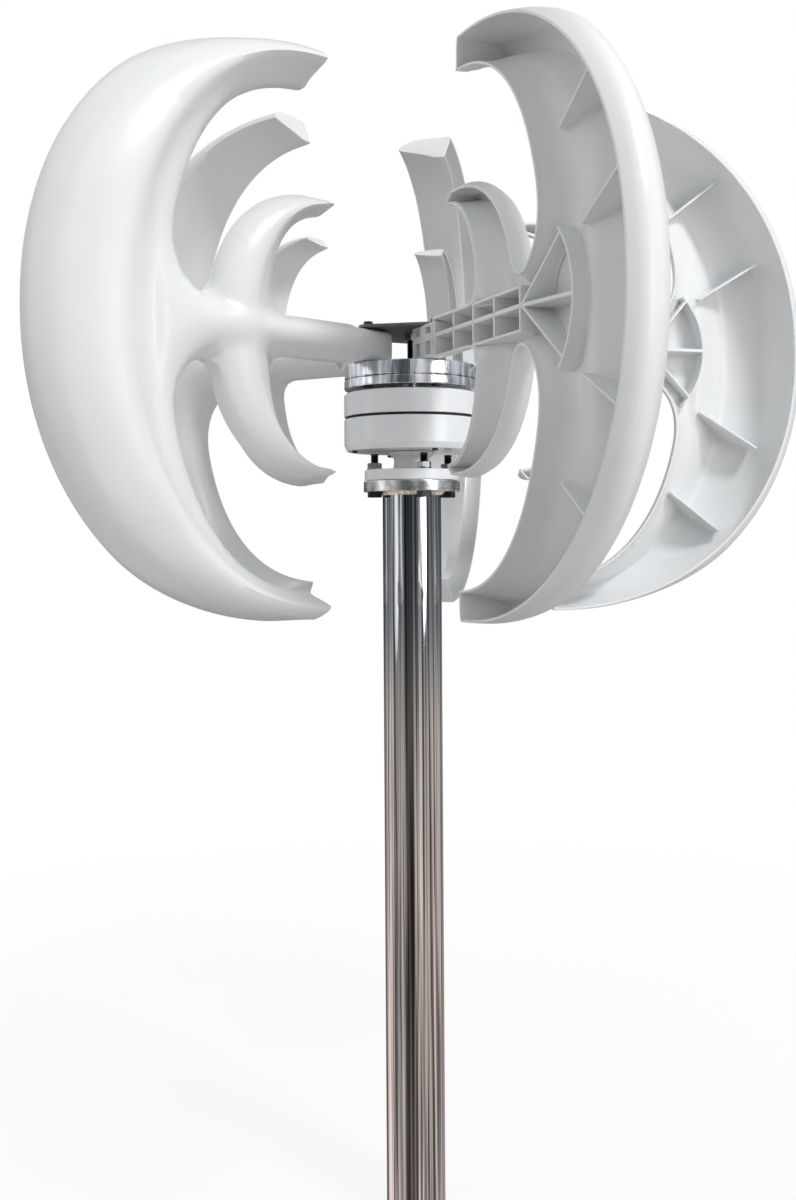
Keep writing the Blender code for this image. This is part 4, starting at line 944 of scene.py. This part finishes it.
ROOT_CELLS = ((41, 51.5), (63.5, 75.5))  # mm along the arm
ROOT_CELL_HEIGHTS = ((7.5, 14), (-13, 0.5))  # mm above the blade's middle
ROOT_CELL_DEPTH = 12 * MM
HOLE_REACH = 20 * MM  # how far the bolt hole's cutter reaches up and down, which is past the root


def cuboid(x_range, y_range, z_range):
    """Points and faces of a box between two values on each axis."""
    points = [(x, y, z) for x in x_range for y in y_range for z in z_range]
    faces = [(0, 1, 3, 2), (4, 6, 7, 5), (0, 4, 5, 1), (2, 3, 7, 6), (0, 2, 6, 4), (1, 5, 7, 3)]
    return points, faces


def root_block():
    """The solid tongue that the hub clamps, let into the hollow arm, with its cells and the bolt's hole."""
    rings = []
    for x, grow in (
        (ROOT_START - 0.7 * MM, -1.2 * MM),
        (ROOT_START - 0.2 * MM, -0.4 * MM),
        (ROOT_START + 0.8 * MM, 0),
        (ROOT_START + 23 * MM, 0),
        (ROOT_END - 0.3 * MM, 0),
        (ROOT_END, -0.3 * MM),
    ):
        half, middle = (ROOT_HIGH - ROOT_LOW) / 2 + grow, (ROOT_HIGH + ROOT_LOW) / 2
        front, edge = RIM_Y - grow, half - 0.2 * MM
        ring = [(front, middle - half + MM), (front, middle + half - MM), (front + 0.6 * MM, middle + edge)]
        for turn in np.linspace(math.pi / 2, -math.pi / 2, 25):
            out = math.copysign(abs(math.sin(turn)) ** (2 / ROOT_SQUARENESS), turn)
            back = (ROOT_DEPTH + grow - 1.2 * MM) * abs(math.cos(turn)) ** (2 / ROOT_SQUARENESS)
            ring.append((RIM_Y + 1.2 * MM + back, middle + half * out))
        ring.append((front + 0.6 * MM, middle - edge))
        rings.append([(x, y, z) for y, z in ring])
    cells = [
        cuboid([x * MM for x in xs], (RIM_Y - 5 * MM, RIM_Y + ROOT_CELL_DEPTH), [z * MM for z in zs])
        for xs in ROOT_CELLS
        for zs in ROOT_CELL_HEIGHTS
    ]
    hole = turned(ring_profile(0, BLADE_BOLT_HOLE, -HOLE_REACH, HOLE_REACH), 32)
    return carved(lofted(rings), [*cells, moved(hole, Matrix.Translation((BLADE_BOLT_RADIUS, 0, 0)))])


# Its gloss comes from the polished mould. Faint flow marks and a little waviness break the highlights up.

FLOW_MARK, WAVE, GRAIN = 90.9 * MM, 26 * MM, 1.2 * MM

finish_name = "glass-filled nylon, injection moulded"
blade_nylon, add, shader, coordinates = new_finish(finish_name, "E9EBEC", 0.0, 0.30)
set_inputs(shader, {"IOR": 1.5})
flow_marks = add("TexNoise", {"Vector": coordinates, "Scale": 1 / FLOW_MARK, "Detail": 4.0})
waviness = add("TexNoise", {"Vector": coordinates, "Scale": 1 / WAVE})
grain = add("TexNoise", {"Vector": coordinates, "Scale": 1 / GRAIN, "Detail": 2.0})
nylon_colour = add("MixRGB", {"Fac": flow_marks, "Color1": "E3E5E7", "Color2": "EEEFEF"})
wavy = add("Bump", {"Height": waviness, "Strength": 0.20, "Distance": 0.8 * MM})
grainy = add("Bump", {"Height": grain, "Strength": 0.08, "Distance": 0.1 * MM, "Normal": wavy})
nylon_range = add("MapRange", {"Value": flow_marks, "To Min": 0.24, "To Max": 0.38})
set_inputs(shader, {"Base Color": nylon_colour, "Normal": grainy, "Roughness": nylon_range})

shell_points, shell_faces, inner_skin = blade_shell()
webs = []
for line, start, end, thickness in rib_lines():
    webs.append(web(line, np.linspace(start, end, len(line)), thickness, inner_skin))
blade = merged((shell_points, shell_faces), *webs, root_block())
for i, azimuth in enumerate(azimuths):
    node = f"blade_{i + 1}"
    place = at(azimuth, 0, HUB_HEIGHT)
    piece(f"{node}_moulding", *blade, blade_nylon, "rotor", "blade_plastic", node, place=place)


# The top plate: a five-sided sheet of steel, laser cut and painted dark grey, that clamps the blades' roots
# down on the upper disc. A low screw sits in its middle.

PLATE_CORNER_RADIUS, PLATE_CORNER_ARC = 69 * MM, 9 * MM
ROLLING_CLOUD = 9 * MM

# Thin primer is nearly matt, and the rolled sheet under it shows through as soft clouds.
plate_steel, add, shader, coordinates = new_finish("steel plate, grey primer", "6E7276", 0.35, 0.45)
rolled = add("TexNoise", {"Vector": coordinates, "Scale": 1 / ROLLING_CLOUD, "Detail": 5.0})
plate_colour = add("MixRGB", {"Fac": rolled, "Color1": "5C6064", "Color2": "7F8387"})
plate_range = add("MapRange", {"Value": rolled, "To Min": 0.35, "To Max": 0.6})
set_inputs(shader, {"Base Color": plate_colour, "Roughness": plate_range})


def rounded_corners(corners, radius, steps):
    """An outline with each of its corners turned into an arc."""
    made = []
    for i, corner in enumerate(corners):
        here, before, after = Vector(corner), Vector(corners[i - 1]), Vector(corners[(i + 1) % len(corners)])
        back, on = (before - here).normalized(), (after - here).normalized()
        half = back.angle(on) / 2
        centre = here + (back + on).normalized() * radius / math.sin(half)
        tangent = radius / math.tan(half)
        start, end = here + back * tangent - centre, here + on * tangent - centre
        sweep = start.angle(end)
        for k in range(steps + 1):
            a = sweep * k / steps
            made.append(centre + (start * math.sin(sweep - a) + end * math.sin(a)) / math.sin(sweep))
    return [(p.x, p.y) for p in made]


low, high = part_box("top_plate")
corners = []
for azimuth in azimuths:
    turn = math.radians(azimuth)
    corners.append((PLATE_CORNER_RADIUS * math.sin(turn), -PLATE_CORNER_RADIUS * math.cos(turn)))
plate_outline = rounded_corners(corners, PLATE_CORNER_ARC, 12)
rings = []
for shrink, z in ((0.994, high.z), (1, high.z - 0.35 * MM), (1, low.z + 0.35 * MM), (0.994, low.z)):
    rings.append([(x * shrink, y * shrink, z) for x, y in plate_outline])
bolt_hole = turned(ring_profile(0, BLADE_BOLT_HOLE, low.z - MM, high.z + MM), 32)
holes = [moved(bolt_hole, at(azimuth, BLADE_BOLT_RADIUS)) for azimuth in azimuths]
piece("top_plate_sheet", *carved(lofted(rings), holes), plate_steel, "rotor", "clamp_steel", "top_plate")

low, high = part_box("shaft_screw")
screw_rows = [
    (high.x, low.z, None),
    (high.x, low.z + 1.0 * MM, None),
    (high.x * 0.93, low.z + 1.5 * MM, None),
    (high.x * 0.7, high.z - 0.15 * MM, None),
    (high.x * 0.58, high.z, None),
    (2.5 * MM, high.z, 0),
    (2.5 * MM, low.z + 0.6 * MM, 0),
    (1.0 * MM, low.z + 0.5 * MM, None),
]
piece("shaft_screw_button", *hex_turned(screw_rows), black_steel, "rotor", "bolt_steel", "shaft_screw")

# Five M5 bolts with washers go down through the plate, the blades' roots and both discs into their nuts.
M5_RADIUS, M5_PITCH, M5_FLATS, M5_HEAD = 2.5 * MM, 0.8 * MM, 8 * MM, 3.5 * MM
M5_WASHER_RADIUS, M5_WASHER = 5 * MM, 0.7 * MM
for i, azimuth in enumerate(azimuths):
    bolt_node, nut_node = f"blade_bolt_{i + 1}", f"blade_nut_{i + 1}"
    bolt_low, bolt_high = (corner.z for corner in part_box(bolt_node))
    nut_low, nut_high = (corner.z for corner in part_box(nut_node))
    place = at(azimuth, BLADE_BOLT_RADIUS)
    seat = bolt_high - M5_HEAD
    washer_top = seat + M5_WASHER
    bolt = merged(
        turned(eased(ring_profile(M5_RADIUS, M5_WASHER_RADIUS, seat, washer_top), 0.2 * MM), 40),
        hex_turned(hex_head(M5_FLATS, washer_top, bolt_high)),
        turned(threaded(M5_RADIUS, M5_PITCH, bolt_low, bolt_high - 2 * MM), 32),
    )
    nut = hex_turned(hex_head(M5_FLATS, nut_low, nut_high, chamfer_low=True))
    piece(f"{bolt_node}_hex", *bolt, black_steel, "rotor", "bolt_steel", bolt_node, place=place)
    piece(f"{nut_node}_hex", *nut, black_steel, "rotor", "bolt_steel", nut_node, place=place)


# The studio: a pale floor that fades into a white surround, a strong lamp high up in front on the right, and
# weak soft ones in front, on the left and behind. Polished metal mirrors a white room with dark upright gaps.

FLOOR_RADIUS, FLOOR_SIDES = 30.0, 95
SHADOW_START, SHADOW_RADIUS, NEAR_WHITE = 0.3, 1.6, 0.85  # where the floor starts and ends its fade to white
ROOM_LIGHT = 0.57
KEY_POWER, FRONT_POWER, FILL_POWER, BACK_POWER = 74, 20, 8, 16

floor_mesh = bpy.data.meshes.new("floor")
turns = [2 * math.pi * i / FLOOR_SIDES for i in range(FLOOR_SIDES)]
floor_ring = [(FLOOR_RADIUS * math.cos(turn), FLOOR_RADIUS * math.sin(turn), 0) for turn in turns]
floor_mesh.from_pydata(floor_ring, [], [tuple(range(FLOOR_SIDES))])
floor = placed("floor", floor_mesh)
floor.location.z = -1 * MM
floor.visible_glossy = False

# The floor sends less light back up than the camera sees on it, so that what faces down stays darker.
floor_paper, add, shader, coordinates = new_finish("white paper sweep", "E8E8E8", 0.0, 0.8)
distance = add("VectorMath", {0: coordinates}, operation="LENGTH").outputs["Value"]
fade = {"From Min": SHADOW_START, "From Max": SHADOW_RADIUS, "To Min": NEAR_WHITE}
fading = add("MapRange", {"Value": distance, **fade})
to_camera = add("LightPath").outputs["Is Camera Ray"]
paper_colour = add("MixRGB", {"Fac": to_camera, "Color1": "B6B4B2", "Color2": "E8E8E8"})
set_inputs(shader, {"Base Color": paper_colour})
share = add("Math", {0: to_camera, 1: fading}, operation="MULTIPLY")
white = add("Emission", {"Color": (1, 1, 1, 1), "Strength": 1.0})
mixed = add("MixShader", {0: share, 1: shader, 2: white})
set_inputs(floor_paper.node_tree.nodes["Material Output"], {"Surface": mixed})
floor_mesh.materials.append(floor_paper)

# Azimuth in degrees from straight in front, and how bright the room is there
ROOM_BANDS = (
    (-180, 0.20),
    (-142, 0.20),
    (-126, 0.95),
    (-96, 0.98),
    (-74, 0.66),
    (-36, 0.60),
    (-24, 0.14),
    (-2, 0.14),
    (10, 0.82),
    (30, 0.82),
    (46, 0.58),
    (72, 0.58),
    (90, 0.78),
    (118, 0.72),
    (136, 0.46),
    (166, 0.44),
    (180, 0.20),
)
# How high a direction points, as its sine, and the room's tint there: darker at the height of the mast's top
ROOM_LEVELS = (
    (-0.32, "FFF0E8"),
    (-0.16, "E0D8D4"),
    (-0.08, "9BA0A8"),
    (0.04, "78808B"),
    (0.09, "E6ECF2"),
    (0.5, "FFFFFF"),
)
world = bpy.data.worlds.new("white room")
bpy.context.scene.world = world
world.use_nodes = True
world.node_tree.nodes.clear()
add = partial(add_node, world.node_tree)
direction = add("SeparateXYZ", {"Vector": add("TexCoord").outputs["Generated"]})
backwards = add("Math", {0: direction.outputs["Y"], 1: -1.0}, operation="MULTIPLY")
azimuth = add("Math", {0: direction.outputs["X"], 1: backwards}, operation="ARCTAN2")
round_share = add("MapRange", {"Value": azimuth, "From Min": -math.pi, "From Max": math.pi})
height_share = add("MapRange", {"Value": direction.outputs["Z"], "From Min": -1.0})
room = add("ValToRGB", {"Fac": round_share})
levels = add("ValToRGB", {"Fac": height_share})
for ramp, stops in (
    (room, [((degrees + 180) / 360, (level, level, level, 1)) for degrees, level in ROOM_BANDS]),
    (levels, [((sine + 1) / 2, linear(tint)) for sine, tint in ROOM_LEVELS]),
):
    elements = ramp.color_ramp.elements
    for k, (position, colour) in enumerate(stops):
        stop = elements[k] if k < 2 else elements.new(position)
        stop.position, stop.color = position, colour
both = {"Fac": 1.0, "Color1": room, "Color2": levels}
mirrored = add("MixRGB", both, blend_type="MULTIPLY")
seen = add("LightPath").outputs
even_light = add("Background", {"Color": (0.97, 0.985, 1.0, 1), "Strength": ROOM_LIGHT})
mirror_light = add("Background", {"Color": mirrored, "Strength": 1.0})
white_light = add("Background", {"Color": (1, 1, 1, 1), "Strength": 1.0})
for_gloss = add("MixShader", {0: seen["Is Glossy Ray"], 1: even_light, 2: mirror_light})
for_camera = add("MixShader", {0: seen["Is Camera Ray"], 1: for_gloss, 2: white_light})
add("OutputWorld", {"Surface": for_camera})

AIM = Vector((0, 0, 0.8))
for name, place, size, power in (
    ("key lamp", (2.0, -2.0, 3.6), 0.8, KEY_POWER),
    ("front lamp", (2.3, -2.1, 1.1), 1.6, FRONT_POWER),
    ("fill lamp", (-2.8, -1.2, 1.2), 2.0, FILL_POWER),
    ("back lamp", (-1.4, 2.6, 2.2), 2.0, BACK_POWER),
):
    lamp = placed(name, bpy.data.lights.new(name, "AREA"))
    lamp.data.shape, lamp.data.size, lamp.data.energy = "DISK", size, power
    lamp.location = place
    lamp.rotation_euler = (AIM - lamp.location).to_track_quat("-Z", "Y").to_euler()

CAMERA_PLACE = Vector((0, -1.2074, 0.696))
CAMERA_ROLL_DEG = -0.36
camera = placed("camera", bpy.data.cameras.new("camera"))
camera.data.sensor_width = 36.0
camera.data.lens = 35.32
camera.data.shift_x, camera.data.shift_y = -0.0117, -0.0614
camera.matrix_world = (
    Matrix.Translation(CAMERA_PLACE)
    @ Matrix.Rotation(math.radians(90), 4, "X")
    @ Matrix.Rotation(math.radians(CAMERA_ROLL_DEG), 4, "Z")
)
bpy.context.scene.camera = camera
bpy.context.scene.view_settings.view_transform = "Standard"
